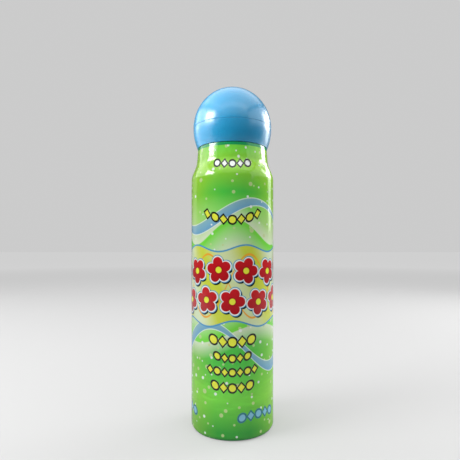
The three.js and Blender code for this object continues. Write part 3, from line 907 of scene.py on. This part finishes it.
@cache
def foam_white():
    """Soft applicator foam with open pores, with painted shade in the pores' middles."""
    finish = Finish("tip_foam", 0.9)
    pores = finish.pores(2600.0, 0.1, 0.45)
    mottle = finish.noise(finish.position, 500.0, 3.0)
    ground = finish.mix("foam_shade", "foam_colour", finish.ramp(mottle, 0.3, 0.6))
    return finish.dress({
        # The pores' middles take the darker colour: painted shade in the pores. The same colour also gives
        # the foam's random mottle.
        "Base Color": finish.mix("foam_shade", ground, pores),
        "Normal": finish.bump(pores + mottle * 0.5, 0.5, 0.0001),
        "Sheen Weight": 0.15,
        "Subsurface Weight": 0.2,
        "Subsurface Scale": 0.0008,
    })


@cache
def closed_foam():
    """Fine closed-cell foam of the gasket and the cap's liner, with painted shade in the pores' middles."""
    finish = Finish("gasket_foam", 0.7)
    pores = finish.pores(5200.0, 0.15, 0.6)
    return finish.dress({
        # The cells' middles take the darker colour: painted shade in the pores.
        "Base Color": finish.mix("gasket_shade", "gasket_colour", pores),
        "Normal": finish.bump(pores, 0.3, 0.00004),
    })


@cache
def black_rubber():
    """Dark rubber of the valve's seal, with a bloom of talc."""
    finish = Finish("seal_rubber")
    bloom = finish.noise(finish.position, 900.0, 4.0, 0.65)
    return finish.dress({
        "Base Color": finish.mix("rubber_colour", "rubber_bloom", finish.ramp(bloom, 0.5, 0.8)),
        "Roughness": finish.ramp(bloom, 0.3, 0.8, 0.5, 0.75),
        "Normal": finish.bump(bloom, 0.2, 0.00003),
    })


@cache
def spring_wire():
    """Drawn steel wire, with fine lines along it from the die."""
    finish = Finish("spring_steel")
    x, y, z = finish.parts(finish.position)
    angle = finish.math("ARCTAN2", y, x)
    lines = finish.noise(finish.vector(angle * 0.0006, finish.length(x, y), z), 9000.0)
    return finish.dress({
        "Base Color": finish.mix("steel_colour", "steel_shade", finish.ramp(lines, 0.35, 0.7)),
        "Roughness": finish.ramp(lines, 0.3, 0.7, 0.18, 0.34),
        "Normal": finish.bump(lines, 0.25, 0.00001),
        "Metallic": 1.0,
    })


@cache
def clear_glue():
    """Clear glue with a few fine bubbles."""
    finish = Finish("clear_glue", 0.05)
    clear = finish.pores(260.0, 0.05, 0.12)
    return finish.dress({
        "Base Color": finish.mix("glue_bubble", "glue_colour", clear),
        "Normal": finish.bump(clear * -1 + 1, 0.4, 0.0002),
        "Transmission Weight": 0.92,
        "IOR": 1.38,
    })


# What a user can change


def colour(name, description, *channels):
    """A colour setting, from channels of 0 to 255."""
    shares = [value / 255 for value in channels]
    linear = [s / 12.92 if s <= 0.04045 else ((s + 0.055) / 1.055) ** 2.4 for s in shares]
    return bpy.props.FloatVectorProperty(
        name=name, description=description, subtype="COLOR", size=4, min=0.0, max=1.0, default=(*linear, 1.0)
    )


def number(name, description, default, **more):
    return bpy.props.FloatProperty(name=name, description=description, default=default, **more)


def length(name, description, default):
    return number(name, description, default, min=0.0, precision=5, unit="LENGTH")


def power(name, source, default):
    return number(name, "Power of the " + source, default, min=0.0, unit="POWER")


class SleeveSettings(bpy.types.PropertyGroup):
    """Colours of the sleeve's print and sizes of its film."""

    green_deep: colour("Deep green", "Ground of the print at the sleeve's foot", 44, 158, 48)
    green_mid: colour("Mid green", "Ground of the print above the foot", 72, 196, 66)
    green_leaf: colour("Leaf green", "Ground of the print beside the pale glow", 118, 220, 66)
    green_lime: colour("Lime green", "Ground of the print on the shoulder", 150, 212, 48)
    green_side: colour("Side green", "Ground of the print at the sides", 150, 204, 42)
    green_pale: colour("Pale green", "Ground of the print round the band", 176, 212, 120)
    glow: colour("Glow", "Palest part of the ground", 214, 230, 196)
    ribbon_blue: colour("Ribbon blue", "Ribbons and the band's outline", 74, 152, 200)
    ribbon_pale: colour("Ribbon pale", "Upper side of the ribbons", 128, 180, 190)
    outline_white: colour("Outline white", "Fine outlines and small dots", 238, 244, 240)
    dot_pale: colour("Dot cream", "Larger dots", 196, 214, 150)
    band_lime: colour("Band yellow", "Band behind the rosettes", 206, 217, 70)
    rosette_red: colour("Rosette red", "Rosettes", 204, 26, 34)
    rosette_dark: colour("Rosette dark", "Shaded side of the rosettes", 160, 12, 26)
    bead_yellow: colour("Bead yellow", "Beads and the rosettes' middles", 234, 238, 66)
    bead_blue: colour("Bead blue", "Beads near the sleeve's foot", 128, 192, 218)
    bead_blue_edge: colour("Bead blue edge", "Outline of the blue beads", 42, 118, 134)
    line_orange: colour("Line orange", "Fine waved lines across the band", 238, 168, 52)
    shadow_black: colour("Shadow black", "Outlines and shadows", 22, 28, 20)
    # Colour of the seam line, the hem line and the top band; the top band is partly painted shade under the
    # cap's foot.
    edge_and_shade_green: colour("Edge green", "Line round the sleeve's top", 0, 158, 88)
    ripple_depth: length("Ripple depth", "Depth of the ripples on the shoulder", 0.00016)
    wall_depth: length("Wall unevenness", "Depth of the swells on the straight wall", 0.00003)
    crease_depth: length("Crease depth", "Depth of the film's creases near the foot", 0.0001)
    lap_width: length("Lap width", "Width of the lapped seam at the back", 0.004)
    lap_step: length("Lap step", "Height of the lapped seam", 0.00005)


class PieceLook(bpy.types.PropertyGroup):
    """Colours of the moulded pieces, the foam, the rubber, the spring and the glue."""

    cap_colour: colour("Cap", "Cap's plastic", 22, 163, 217)
    cap_shade: colour("Cap shade", "Darker flow marks in the cap", 18, 155, 210)
    bottle_colour: colour("Bottle", "Bottle's plastic", 240, 238, 229)
    bottle_shade: colour("Bottle shade", "Darker patches of the bottle", 230, 227, 216)
    white_colour: colour("White moulding", "Housing, stem and collar", 241, 240, 234)
    white_shade: colour("White shade", "Flow marks in the white mouldings", 231, 230, 222)
    natural_colour: colour("Natural moulding", "Spring cage and spreader", 228, 228, 220)
    natural_shade: colour("Natural shade", "Flow marks in the natural mouldings", 214, 214, 204)
    foam_colour: colour("Tip foam", "Foam tip", 243, 240, 230)
    # Darker colour of the foam's random mottle, and painted shade in the middles of its pores.
    foam_shade: colour("Foam pores", "Pores of the foam tip", 226, 222, 210)
    gasket_colour: colour("Gasket", "Gasket and liner", 236, 236, 231)
    # Painted shade in the middles of the gasket's and the liner's pores.
    gasket_shade: colour("Gasket pores", "Pores of the gasket and the liner", 214, 214, 208)
    rubber_colour: colour("Seal", "Rubber seal", 46, 48, 52)
    rubber_bloom: colour("Seal bloom", "Talc on the rubber seal", 112, 114, 116)
    steel_colour: colour("Spring", "Spring's wire", 190, 193, 197)
    steel_shade: colour("Spring lines", "Drawing lines on the wire", 150, 153, 158)
    glue_colour: colour("Glue", "Clear glue", 232, 240, 242)
    glue_bubble: colour("Glue bubbles", "Bubbles in the glue", 250, 252, 252)


class StageSettings(bpy.types.PropertyGroup):
    """Camera, lamps and floor."""

    camera_distance: length("Camera distance", "From the bottle's axis to the camera", 0.1474)
    camera_height: length("Camera height", "Of the camera above the floor", 0.0642)
    lens: number("Lens", "Focal length in millimetres", 31.4, min=1.0)
    shift_x: number("Shift X", "Sideways shift of the lens", -0.0052)
    shift_y: number("Shift Y", "Upward shift of the lens", 0.039)
    side_power: power("Side lamp", "small bright lamp at the left", 1.35)
    wall_power: power("Left softbox", "broad soft light at the left", 1.11)
    window_power: power("Right softbox", "light behind the cap's right side", 0.51)
    fill_power: power("Right fill", "broad soft light at the right", 0.95)
    strip_power: power("Strip light", "strip behind the right side", 0.18)
    glare_power: power("Cap glare", "panels that light the cap alone", 0.08)
    top_power: power("Top light", "soft light overhead", 9.0)
    ambient: number("Ambient", "Strength of the light from all round", 0.17, min=0.0)
    background: number("Background", "Tone of the background, where 1 is white", 0.6, min=0.0, max=1.0)
    floor_width: number("Floor width", "Length of the floor's sides", 12.0, min=0.1, unit="LENGTH")
    floor_colour: colour("Floor", "Floor", 236, 236, 236)


# Operators


class MakeStage(bpy.types.Operator):
    """Makes the camera, the lamps, the pale floor and the world's light"""

    bl_idname = "glue_bottle.make_stage"
    bl_label = "Make stage"

    def execute(self, context):
        scene = context.scene
        settings = scene.glue_bottle_stage
        scene.view_settings.view_transform = "Standard"
        self.camera(scene, settings)
        self.lamps(settings)
        self.floor(settings)
        self.world(scene, settings)
        return {"FINISHED"}

    def camera(self, scene, settings):
        data = bpy.data.cameras.new("camera")
        data.sensor_fit = "HORIZONTAL"
        data.sensor_width = 36.0
        data.lens = settings.lens
        data.shift_x = settings.shift_x
        data.shift_y = settings.shift_y
        data.clip_start = 0.005
        data.clip_end = 20.0
        scene.camera = new_object("camera", data)
        scene.camera.location = (0.0, -settings.camera_distance, settings.camera_height)
        scene.camera.rotation_euler = (math.pi / 2, 0.0, 0.0)

    def lamps(self, settings):
        """Lamps round the bottle, and two panels close by that light the cap alone.

        A row has the name, the power, the azimuth, the elevation, the distance, the width and the height.
        """
        for row in (
            ("side lamp", settings.side_power, -69, 28, 0.45, 0.2, 0.14),
            ("left softbox", settings.wall_power, -90, 29, 0.5, 0.75, 0.24),
            ("left fill", settings.wall_power * 0.43, -85, 38, 0.52, 1.1, 0.42),
            ("right softbox", settings.window_power, 119, 22.5, 0.5, 0.2, 0.14),
            ("right corner", settings.window_power * 0.25, 136, 28, 0.5, 0.08, 0.1),
            ("right flank", settings.window_power * 0.34, 111, 26, 0.5, 0.08, 0.17),
            ("right fill", settings.fill_power, 92, 29, 0.52, 0.87, 0.28),
            ("right strip", settings.strip_power, 124, 11, 0.5, 0.14, 0.16),
            ("left strip", settings.strip_power * 0.3, -126, 9, 0.5, 0.2, 0.2),
            ("front fill", settings.fill_power * 0.45, 5, 46, 0.5, 0.6, 0.3),
            ("top soft light", settings.top_power, 0, 90, 0.9, 1.6, 1.6),
        ):
            self.lamp(*row, aim_height=0.075)
        receivers = bpy.data.collections.new(GLARE_RECEIVERS)
        for row in (
            ("left glare", settings.glare_power, -94, -6, 0.15, 0.2, 0.12),
            ("right glare", settings.glare_power * 0.6, 118, -6, 0.15, 0.12, 0.12),
        ):
            panel = self.lamp(*row, aim_height=0.105)
            panel.visible_camera = False
            panel.light_linking.receiver_collection = receivers

    def lamp(self, name, power, azimuth, elevation, distance, width, height, aim_height):
        """An area lamp that faces a point on the bottle's axis."""
        around = math.radians(azimuth)
        rise = math.radians(elevation)
        level = math.cos(rise)
        away = Vector((math.sin(around) * level, -math.cos(around) * level, math.sin(rise)))
        data = bpy.data.lights.new(name, "AREA")
        data.shape = "RECTANGLE"
        data.size = width
        data.size_y = height
        data.energy = power
        lamp = new_object(name, data)
        lamp.location = Vector((0.0, 0.0, aim_height)) + away * distance
        lamp.rotation_mode = "QUATERNION"
        lamp.rotation_quaternion = away.to_track_quat("Z", "Y")
        return lamp

    def floor(self, settings):
        """A wide floor that the lamps light near the bottle, and that fades into the background far off."""
        finish = Finish("floor", 0.8, "glue_bottle_stage")
        x, y, _ = finish.parts(finish.position)
        behind = finish.ramp(y, -0.3, -0.06)
        lit = behind * finish.ramp(finish.length(x, y), 0.3, 1.3, 1.0, 0.0)
        light, medium, dark = [
            (*[share * value for value in settings.floor_colour[:3]], 1.0) for share in (0.36, 0.34, 0.05)
        ]
        mottled = finish.mix(light, medium, finish.noise(finish.position, 3.0))
        camera, mirrored = self.sights(finish)
        glow = finish.ramp(lit, 0.0, 1.0, settings.background / settings.floor_colour[0], 0.38)
        half = settings.floor_width / 2
        corners = [(-half, -half, 0), (half, -half, 0), (half, half, 0), (-half, half, 0)]
        mesh = bpy.data.meshes.new("floor")
        mesh.from_pydata(corners, [], [range(4)])
        mesh.materials.append(finish.dress({
            "Base Color": finish.mix(dark, mottled, lit),
            "Emission Color": "floor_colour",
            "Emission Strength": camera * glow + mirrored * (behind * 0.08 + 0.04),
        }))
        new_object("floor", mesh)

    def world(self, scene, settings):
        """Soft light from all round, and the background's tone where the camera sees it."""
        world = bpy.data.worlds.new("world")
        world.use_nodes = True
        graph = Graph(world.node_tree)
        camera, mirrored = self.sights(graph)
        more = settings.background - settings.ambient
        sky = world.node_tree.nodes["Background"]
        sky.inputs["Color"].default_value = (1.0, 1.0, 1.0, 1.0)
        graph.feed(sky.inputs["Strength"], camera * more + mirrored * 0.04 + settings.ambient)
        scene.world = world

    def sights(self, graph):
        """1 where the camera looks straight on, and 1 where it looks by a gloss or through a clear piece."""
        rays = graph.node("ShaderNodeLightPath").outputs
        mirrored = Field(graph, rays["Is Glossy Ray"]).at_least(Field(graph, rays["Is Transmission Ray"]))
        return Field(graph, rays["Is Camera Ray"]), mirrored


class MakeSleeve(bpy.types.Operator):
    """Makes the printed sleeve, from its hem round the base corner up to its edge under the cap"""

    bl_idname = "glue_bottle.make_sleeve"
    bl_label = "Make sleeve"

    def execute(self, context):
        settings = context.scene.glue_bottle_sleeve
        film = sleeve_film()
        outline = self.side(FIT + FILM_T, creased=True) + self.side(FIT, creased=False)[::-1]
        piece = turned("sleeve", loop(outline), film, segments=SLEEVE_ROUND)
        film_sizes = ("ripple_depth", "wall_depth", "crease_depth", "lap_width", "lap_step")
        run_tree(
            piece, film_tree(), film, shoulder_foot=BODY_H * MM, film_top=SLEEVE_TOP * MM,
            **{name: getattr(settings, name) for name in film_sizes},
        )
        place(piece, "bottle", "shrink_sleeve")
        return {"FINISHED"}

    def side(self, offset, creased):
        """The film's inner or outer side from the hem up, with close rows where the creases are."""
        corner_r = BASE_CORNER_R + offset
        corner = arc((BOTTLE_R - BASE_CORNER_R, BASE_CORNER_R), (corner_r, corner_r), -HEM_DEG, 0, 10)
        rows = CREASE_ROWS if creased else 0
        next_row = math.ceil(CREASE_FOOT + CREASE_STEP * rows) if creased else ROWS_FOOT + ROW_STEP
        heights = [BASE_CORNER_R + CORNER_ROW_STEP * i for i in (1, 2, 3)] + [ROWS_FOOT]
        heights += [CREASE_FOOT + CREASE_STEP * i for i in range(rows)]
        heights += range(next_row, int(BODY_H), ROW_STEP)
        wall = [(BOTTLE_R + offset, z) for z in heights]
        band_foot = BODY_H + SHOULDER_H
        band = [
            (LEDGE_R + BAND_TAPER * (1 - s) + offset, band_foot + (SLEEVE_TOP - band_foot) * s)
            for s in (0.2, 0.4, 0.6, 0.8, 0.93, 1.0)
        ]
        return corner + wall + shoulder(offset, 28) + band


class MakeBottle(bpy.types.Operator):
    """Makes the blow-moulded bottle with its pushed-up base and neck thread, and the glue in it"""

    bl_idname = "glue_bottle.make_bottle"
    bl_label = "Make bottle and glue"

    def execute(self, context):
        plastic = bottle_plastic()
        corner_r = BOTTLE_R - BASE_CORNER_R
        ring_r = corner_r - STANDING_RING_W
        push_up_r = ring_r - PUSH_UP_SLOPE_W
        inner_corner_r = BASE_CORNER_R - BOTTLE_WALL
        inner_r = BOTTLE_R - BOTTLE_WALL
        bore_r = NECK_R - BOTTLE_WALL
        base_top = PUSH_UP_H + BOTTLE_WALL
        ledge_foot = LEDGE_Z - BOTTLE_WALL
        outline = [
            (0.0, PUSH_UP_H), (push_up_r, PUSH_UP_H), (ring_r, 0.0),
            *arc((corner_r, BASE_CORNER_R), (BASE_CORNER_R, BASE_CORNER_R), -90, 0, 10),
            *shoulder(0.0, 24),
            (LEDGE_R, LEDGE_Z), (NECK_R, LEDGE_Z), (NECK_R, LIP_Z), (bore_r, LIP_Z),
            (bore_r, ledge_foot), (LEDGE_R - BOTTLE_WALL - LEDGE_INSET, ledge_foot),
            *reversed(shoulder(-BOTTLE_WALL, 16)),
            *arc((corner_r, BASE_CORNER_R), (inner_r - corner_r, inner_corner_r), 0, -90, 6),
            (ring_r, BASE_CORNER_R - inner_corner_r), (push_up_r, base_top), (0.0, base_top),
        ]
        bottle = turned("blown_bottle", outline, plastic, edge_r=0.3)
        add_thread(bottle, plastic, NECK_R, outwards=True, start_z=THREAD_FOOT, start_angle=0.0)
        self.add_pinch_line(bottle, plastic, push_up_r - PINCH_GAP)
        place(bottle, "bottle", "bottle")

        outline = [
            (0.0, base_top + FIT), (push_up_r, base_top + FIT), (ring_r, GLUE_FOOT),
            *arc((corner_r, GLUE_FOOT + inner_corner_r), (GLUE_R - corner_r, inner_corner_r), -90, 0, 6),
            (GLUE_R, GLUE_TOP - GLUE_ROW_DROP), (GLUE_R, GLUE_TOP),
            *arc((GLUE_R - MENISCUS_W, GLUE_TOP), (MENISCUS_W, MENISCUS_H), -8, -90, 8),
            (0.0, GLUE_TOP - MENISCUS_H),
        ]
        place(turned("glue", outline, clear_glue()), "bottle", "glue_fill")
        return {"FINISHED"}

    def add_pinch_line(self, bottle, material, half_length):
        """The welded line that the mould pinches across the base."""
        half_width, depth, sink = 0.35, 0.22, 0.3
        stations = [-1.0, -0.93, -0.8, -0.4, 0.0, 0.4, 0.8, 0.93, 1.0]
        rise = [0.3, 0.75, 1.0, 1.0, 1.0, 1.0, 1.0, 0.75, 0.3]
        section = [(-1, 0.0), (-0.55, -0.75), (0.0, -1.0), (0.55, -0.75), (1, 0.0)]
        points = []
        for along, grown in zip(stations, rise):
            x = along * half_length
            points += [(x, across * half_width, PUSH_UP_H + drop * depth * grown) for across, drop in section]
            points += [(x, side * half_width, PUSH_UP_H + sink) for side in (1, -1)]
        sides = len(section) + 2
        last = len(points) - sides
        faces = []
        for start in range(0, last, sides):
            for j in range(sides):
                a, b = start + j, start + (j + 1) % sides
                faces.append((a, b, b + sides, a + sides))
        faces += [range(sides - 1, -1, -1), range(last, last + sides)]
        mesh = bpy.data.meshes.new("pinch line")
        mesh.from_pydata([Vector(p) * MM for p in points], [], faces)
        mesh.materials.append(material)
        weld(bottle, new_object("pinch line", mesh))


class MakeNeckFitting(bpy.types.Operator):
    """Makes the gasket, the valve housing, the spring cage and the tip collar"""

    bl_idname = "glue_bottle.make_neck_fitting"
    bl_label = "Make neck fitting"

    def execute(self, context):
        outline = washer(NECK_R, NECK_R - BOTTLE_WALL, GASKET_FOOT, GASKET_TOP)
        gasket = turned("gasket", outline, closed_foam(), edge_r=0.12)
        place(gasket, "bottle", "neck_gasket")
        self.make_housing()
        self.make_cage(natural_moulding())
        pocket_r = NECK_R - COLLAR_WALL
        lip_foot = COLLAR_TOP - COLLAR_LIP_T
        outline = [
            (NECK_R, COLLAR_FOOT), (NECK_R, COLLAR_TOP - COLLAR_CHAMFER),
            (NECK_R - COLLAR_CHAMFER, COLLAR_TOP), (COLLAR_OPENING_R, COLLAR_TOP),
            (COLLAR_OPENING_R, lip_foot), (pocket_r, lip_foot), (pocket_r, COLLAR_FOOT),
        ]
        collar = turned("collar", outline, white_moulding(), edge_r=MOULD_EDGE_R)
        place(collar, "bottle", "tip_collar")
        return {"FINISHED"}

    def make_housing(self):
        tube_r = NECK_R - BOTTLE_WALL - FIT
        well_r = tube_r - HOUSING_WALL
        rim_r = NECK_R - COLLAR_WALL - FIT
        flange_foot = LIP_Z + FLANGE_RISE
        flange_top = flange_foot + FLANGE_T
        web_top = LIP_Z - WEB_DEPTH
        web_foot = web_top - WEB_T
        stop_foot = CAGE_FOOT + CAGE_RING_H + FIT
        lip_top = CAGE_FOOT - FIT
        outline = [
            (tube_r, HOUSING_FOOT), (tube_r, flange_foot), (NECK_R, flange_foot), (NECK_R, flange_top),
            (rim_r, flange_top), (rim_r, HOUSING_TOP), (well_r, HOUSING_TOP), (well_r, web_top),
            (WEB_HOLE_R, web_top), (WEB_HOLE_R, web_foot), (well_r - CAGE_STOP_W, web_foot),
            (well_r - CAGE_STOP_W, stop_foot), (well_r, stop_foot), (well_r, lip_top),
            (well_r - SNAP_LIP_W, lip_top), (well_r - SNAP_LIP_W, HOUSING_FOOT),
        ]
        housing = turned("housing", outline, white_moulding(), edge_r=MOULD_EDGE_R)
        place(housing, "bottle", "valve_housing")

    def make_cage(self, natural):
        floor_top = SPRING_FOOT - FIT
        ring_top = CAGE_FOOT + CAGE_RING_H
        ring_bore_r = CAGE_R - CAGE_RING_WALL
        guide_bore_r = TAIL_R + RUN
        guide_r = guide_bore_r + CAGE_GUIDE_WALL
        outline = [
            (CAGE_R, CAGE_FOOT), (CAGE_R, ring_top), (ring_bore_r, ring_top), (ring_bore_r, floor_top),
            (guide_r, floor_top), (guide_r, GUIDE_TOP),
            (guide_bore_r, GUIDE_TOP), (guide_bore_r, CAGE_FOOT),
        ]
        cage = turned("cage", outline, natural, edge_r=MOULD_EDGE_R, segments=SMALL_ROUND)
        holes_r = (SPRING_R + SPRING_WIRE / 2 + ring_bore_r) / 2
        drill(cage, natural, holes_r, CAGE_HOLE_R, CAGE_FOOT - DRILL_OVERRUN, floor_top + DRILL_OVERRUN)
        place(cage, "bottle", "spring_cage")


class MakeValve(bpy.types.Operator):
    """Makes the sprung valve: the spring, the stem, its rubber seal and the perforated spreader"""

    bl_idname = "glue_bottle.make_valve"
    bl_label = "Make valve"

    def execute(self, context):
        self.make_spring(spring_wire())
        disc_top = SEAL_FOOT - FIT
        disc_foot = disc_top - DISC_T
        outline = [
            (0.0, TAIL_FOOT), (TAIL_R, TAIL_FOOT), (TAIL_R, disc_foot), (DISC_R, disc_foot),
            (DISC_R, disc_top), (PIN_R, disc_top), (PIN_R, PIN_TOP), (0.0, PIN_TOP),
        ]
        stem = turned("stem", outline, white_moulding(), edge_r=0.2, segments=SMALL_ROUND)
        place(stem, "valve", "valve_stem")
        outline = washer(SEAL_R, PIN_R + FIT, SEAL_FOOT, SEAL_TOP)
        seal = turned("seal", outline, black_rubber(), edge_r=0.16, segments=SMALL_ROUND)
        place(seal, "valve", "stem_seal")
        self.make_spreader(natural_moulding())
        return {"FINISHED"}

    def make_spring(self, wire):
        run = SPRING_TOP - SPRING_FOOT - SPRING_WIRE
        pitch = (run - 2 * CLOSED_TURNS * CLOSED_PITCH) / (SPRING_TURNS - 2 * CLOSED_TURNS)
        wire_r = SPRING_WIRE / 2
        spring = outline_object("spring", loop(arc((0.0, 0.0), (wire_r, wire_r), -90, 240, 11)))
        run_tree(
            spring, helix_tree(), wire, radius=SPRING_R * MM, start_height=(SPRING_FOOT + wire_r) * MM,
            start_angle=0.0, turns=SPRING_TURNS, pitch=pitch * MM, closed_turns=CLOSED_TURNS,
            closed_pitch=CLOSED_PITCH * MM, steps=int(SPRING_TURNS * WIRE_STEPS), fade_steps=1,
        )
        place(spring, "bottle", "valve_spring")
        squash(spring)

    def make_spreader(self, natural):
        dome_foot = SPREADER_TOP - SPREADER_RISE
        bore_r = SPREADER_R - SPREADER_WALL
        socket_r = PIN_R + FIT
        boss_r = socket_r + BOSS_WALL
        flange_foot = SPREADER_FOOT + BOSS_DROP
        flange_top = flange_foot + GUIDE_FLANGE_T
        socket_top = SPREADER_FOOT + SOCKET_DEPTH
        boss_deg = math.degrees(math.acos(boss_r / bore_r))
        outline = [
            (0.0, socket_top), (socket_r, socket_top),
            (socket_r, SPREADER_FOOT), (boss_r, SPREADER_FOOT),
            *arc((0.0, dome_foot), (bore_r, SPREADER_RISE - SPREADER_WALL), boss_deg, 0, 14),
            (bore_r, flange_foot), (SPREADER_FLANGE_R, flange_foot), (SPREADER_FLANGE_R, flange_top),
            (SPREADER_R, flange_top),
            *arc((0.0, dome_foot), (SPREADER_R, SPREADER_RISE), 0, 90, 28),
        ]
        spreader = turned("spreader_dome", outline, natural, edge_r=0.12, segments=SMALL_ROUND)
        holes_r = (boss_r + bore_r) / 2
        drill(spreader, natural, holes_r, SPREADER_HOLE_R, dome_foot, SPREADER_TOP + DRILL_OVERRUN)
        place(spreader, "valve", "spreader")


class MakeFoamTip(bpy.types.Operator):
    """Makes the soft foam tip, which the press of a dab flattens"""

    bl_idname = "glue_bottle.make_foam_tip"
    bl_label = "Make foam tip"

    def execute(self, context):
        foam = foam_white()
        bore_r = SPREADER_R + RUN
        side_r = bore_r + FOAM_SIDE_T
        bore_foot = FOAM_FOOT + FIT
        bore_top = SPREADER_TOP + RUN
        dome_foot = FOAM_FOOT + FOAM_NECK_H
        flange_top = FOAM_FOOT + FOAM_FLANGE_T
        outline = [
            (0.0, bore_top),
            *arc((0.0, bore_foot), (bore_r, bore_top - bore_foot), 90, 0, 24)[1:],
            (bore_r, FOAM_FOOT), (FOAM_FLANGE_R, FOAM_FOOT), (FOAM_FLANGE_R, flange_top),
            (side_r, flange_top), (side_r, dome_foot - FOAM_STRAIGHT_H),
            *arc((0.0, dome_foot), (side_r, FOAM_TOP - dome_foot), 0, 90, 60),
        ]
        piece = turned("dab_foam", outline, foam, edge_r=0.25, segments=FOAM_ROUND)
        run_tree(piece, foam_tree(), foam, pore_depth=0.05 * MM, pore_scale=2600.0, unevenness=0.1 * MM)
        place(piece, "bottle", "foam_tip")
        squash(piece)
        return {"FINISHED"}


class MakeCap(bpy.types.Operator):
    """Makes the ball-shaped screw cap's two shells and the liner in it"""

    bl_idname = "glue_bottle.make_cap"
    bl_label = "Make cap"

    def execute(self, context):
        shells = [self.make_base(cap_plastic()), self.make_dome(cap_plastic())]
        receivers = bpy.data.collections.get(GLARE_RECEIVERS)
        if receivers:
            for shell in shells:
                receivers.objects.link(shell)
        outline = washer(LINER_R, COLLAR_OPENING_R, LINER_FOOT, LINER_TOP)
        liner = turned("liner", outline, closed_foam(), edge_r=0.15)
        place(liner, "liner", "cap_liner")
        return {"FINISHED"}

    def make_base(self, blue):
        """The lower shell, with the spigot and its snap bead, and the thread inside."""
        foot_r = CAP_BORE_R + CAP_FOOT_W
        foot_z = CAP_FOOT - FOOT_DROP
        skirt_h = EQUATOR_Z - CAP_FOOT
        depth = skirt_h / math.sqrt(1 - (foot_r / CAP_R) ** 2)
        foot_deg = -math.degrees(math.asin(skirt_h / depth))
        joint_foot = EQUATOR_Z - PARTING_GAP / 2
        bead_z = EQUATOR_Z + 2 * BEAD_R
        spigot_top = LINER_FOOT - FIT
        outline = [
            (foot_r, foot_z),
            *arc((0.0, EQUATOR_Z), (CAP_R, depth), foot_deg, 0, 26)[:-1],
            (CAP_R, joint_foot - PARTING_BEVEL), (CAP_R - PARTING_BEVEL, joint_foot),
            (SPIGOT_R, joint_foot),
            (SPIGOT_R, bead_z - BEAD_R), (SPIGOT_R + BEAD_R, bead_z), (SPIGOT_R, bead_z + BEAD_R),
            (SPIGOT_R, spigot_top), (CAP_BORE_R, spigot_top), (CAP_BORE_R, foot_z),
        ]
        base = turned("cap_barrel", outline, blue, edge_r=0.18, segments=CAP_ROUND)
        start_z = CAP_FOOT + RUN + THREAD_ROOT_W / 2 + FIT
        start_angle = (start_z - THREAD_FOOT - THREAD_PITCH / 2) / THREAD_PITCH * TURN
        add_thread(base, blue, CAP_BORE_R, outwards=False, start_z=start_z, start_angle=start_angle)
        place(base, "cap", "cap_base")
        return base

    def make_dome(self, blue):
        """The upper shell, with the ring that stops the liner and the gate's dimple on top."""
        bore_r = SPIGOT_R + SPIGOT_GAP
        rise = CAP_TOP - EQUATOR_Z
        bore_rise = rise - CAP_WALL
        joint_top = EQUATOR_Z + PARTING_GAP / 2
        stop_foot = LINER_TOP + FIT
        stop_top = stop_foot + LINER_STOP_H
        stop_seat_r = bore_r * math.sqrt(1 - ((stop_foot - EQUATOR_Z) / bore_rise) ** 2)
        stop_r = stop_seat_r - LINER_STOP_W
        stop_deg = math.degrees(math.asin((stop_top - EQUATOR_Z) / bore_rise))
        gate_z = CAP_TOP - GATE_DEPTH
        outside = arc((0.0, EQUATOR_Z), (CAP_R, rise), 0, 90, 64)[1:]
        outline = [
            (0.0, EQUATOR_Z + bore_rise),
            *arc((0.0, EQUATOR_Z), (bore_r, bore_rise), 90, stop_deg, 24)[1:],
            (stop_r, stop_foot + LINER_STOP_CHAMFER), (stop_r, stop_foot), (stop_seat_r, stop_foot),
            (bore_r, joint_top),
            (CAP_R - PARTING_BEVEL, joint_top), (CAP_R, joint_top + PARTING_BEVEL),
            *[(r, z) for r, z in outside if r > GATE_R + GATE_RIM_W],
            (GATE_R, CAP_TOP - GATE_RIM_DROP), (GATE_R - GATE_SLOPE_W, gate_z),
            (STUB_R, gate_z), (STUB_TOP_R, gate_z + STUB_H), (0.0, gate_z + STUB_H),
        ]
        dome = turned("cap_ball", outline, blue, edge_r=0.1, segments=CAP_ROUND)
        place(dome, "cap", "cap_dome")
        return dome


class GlueBottlePanel(bpy.types.Panel):
    """Lists the operators and the settings"""

    bl_idname = "VIEW3D_PT_glue_bottle"
    bl_label = "Glue bottle"
    bl_space_type = "VIEW_3D"
    bl_region_type = "UI"
    bl_category = "Glue bottle"

    def draw(self, context):
        for maker in MAKERS:
            self.layout.operator(maker.bl_idname)
        for owner in [getattr(context.scene, name) for name in SETTINGS]:
            column = self.layout.column()
            for name in owner.__annotations__:
                column.prop(owner, name)


SETTINGS = {
    "glue_bottle_sleeve": SleeveSettings,
    "glue_bottle_look": PieceLook,
    "glue_bottle_stage": StageSettings,
}
MAKERS = (MakeStage, MakeSleeve, MakeBottle, MakeNeckFitting, MakeValve, MakeFoamTip, MakeCap)
CLASSES = (*SETTINGS.values(), *MAKERS, GlueBottlePanel)


def register():
    for item in CLASSES:
        bpy.utils.register_class(item)
    for name, group in SETTINGS.items():
        setattr(bpy.types.Scene, name, bpy.props.PointerProperty(type=group))


def unregister():
    for name in SETTINGS:
        delattr(bpy.types.Scene, name)
    for item in reversed(CLASSES):
        bpy.utils.unregister_class(item)


def main():
    """Makes every piece."""
    register()
    bpy.ops.glue_bottle.make_stage()
    bpy.ops.glue_bottle.make_sleeve()
    bpy.ops.glue_bottle.make_bottle()
    bpy.ops.glue_bottle.make_neck_fitting()
    bpy.ops.glue_bottle.make_valve()
    bpy.ops.glue_bottle.make_foam_tip()
    bpy.ops.glue_bottle.make_cap()


if __name__ == "__main__":
    main()
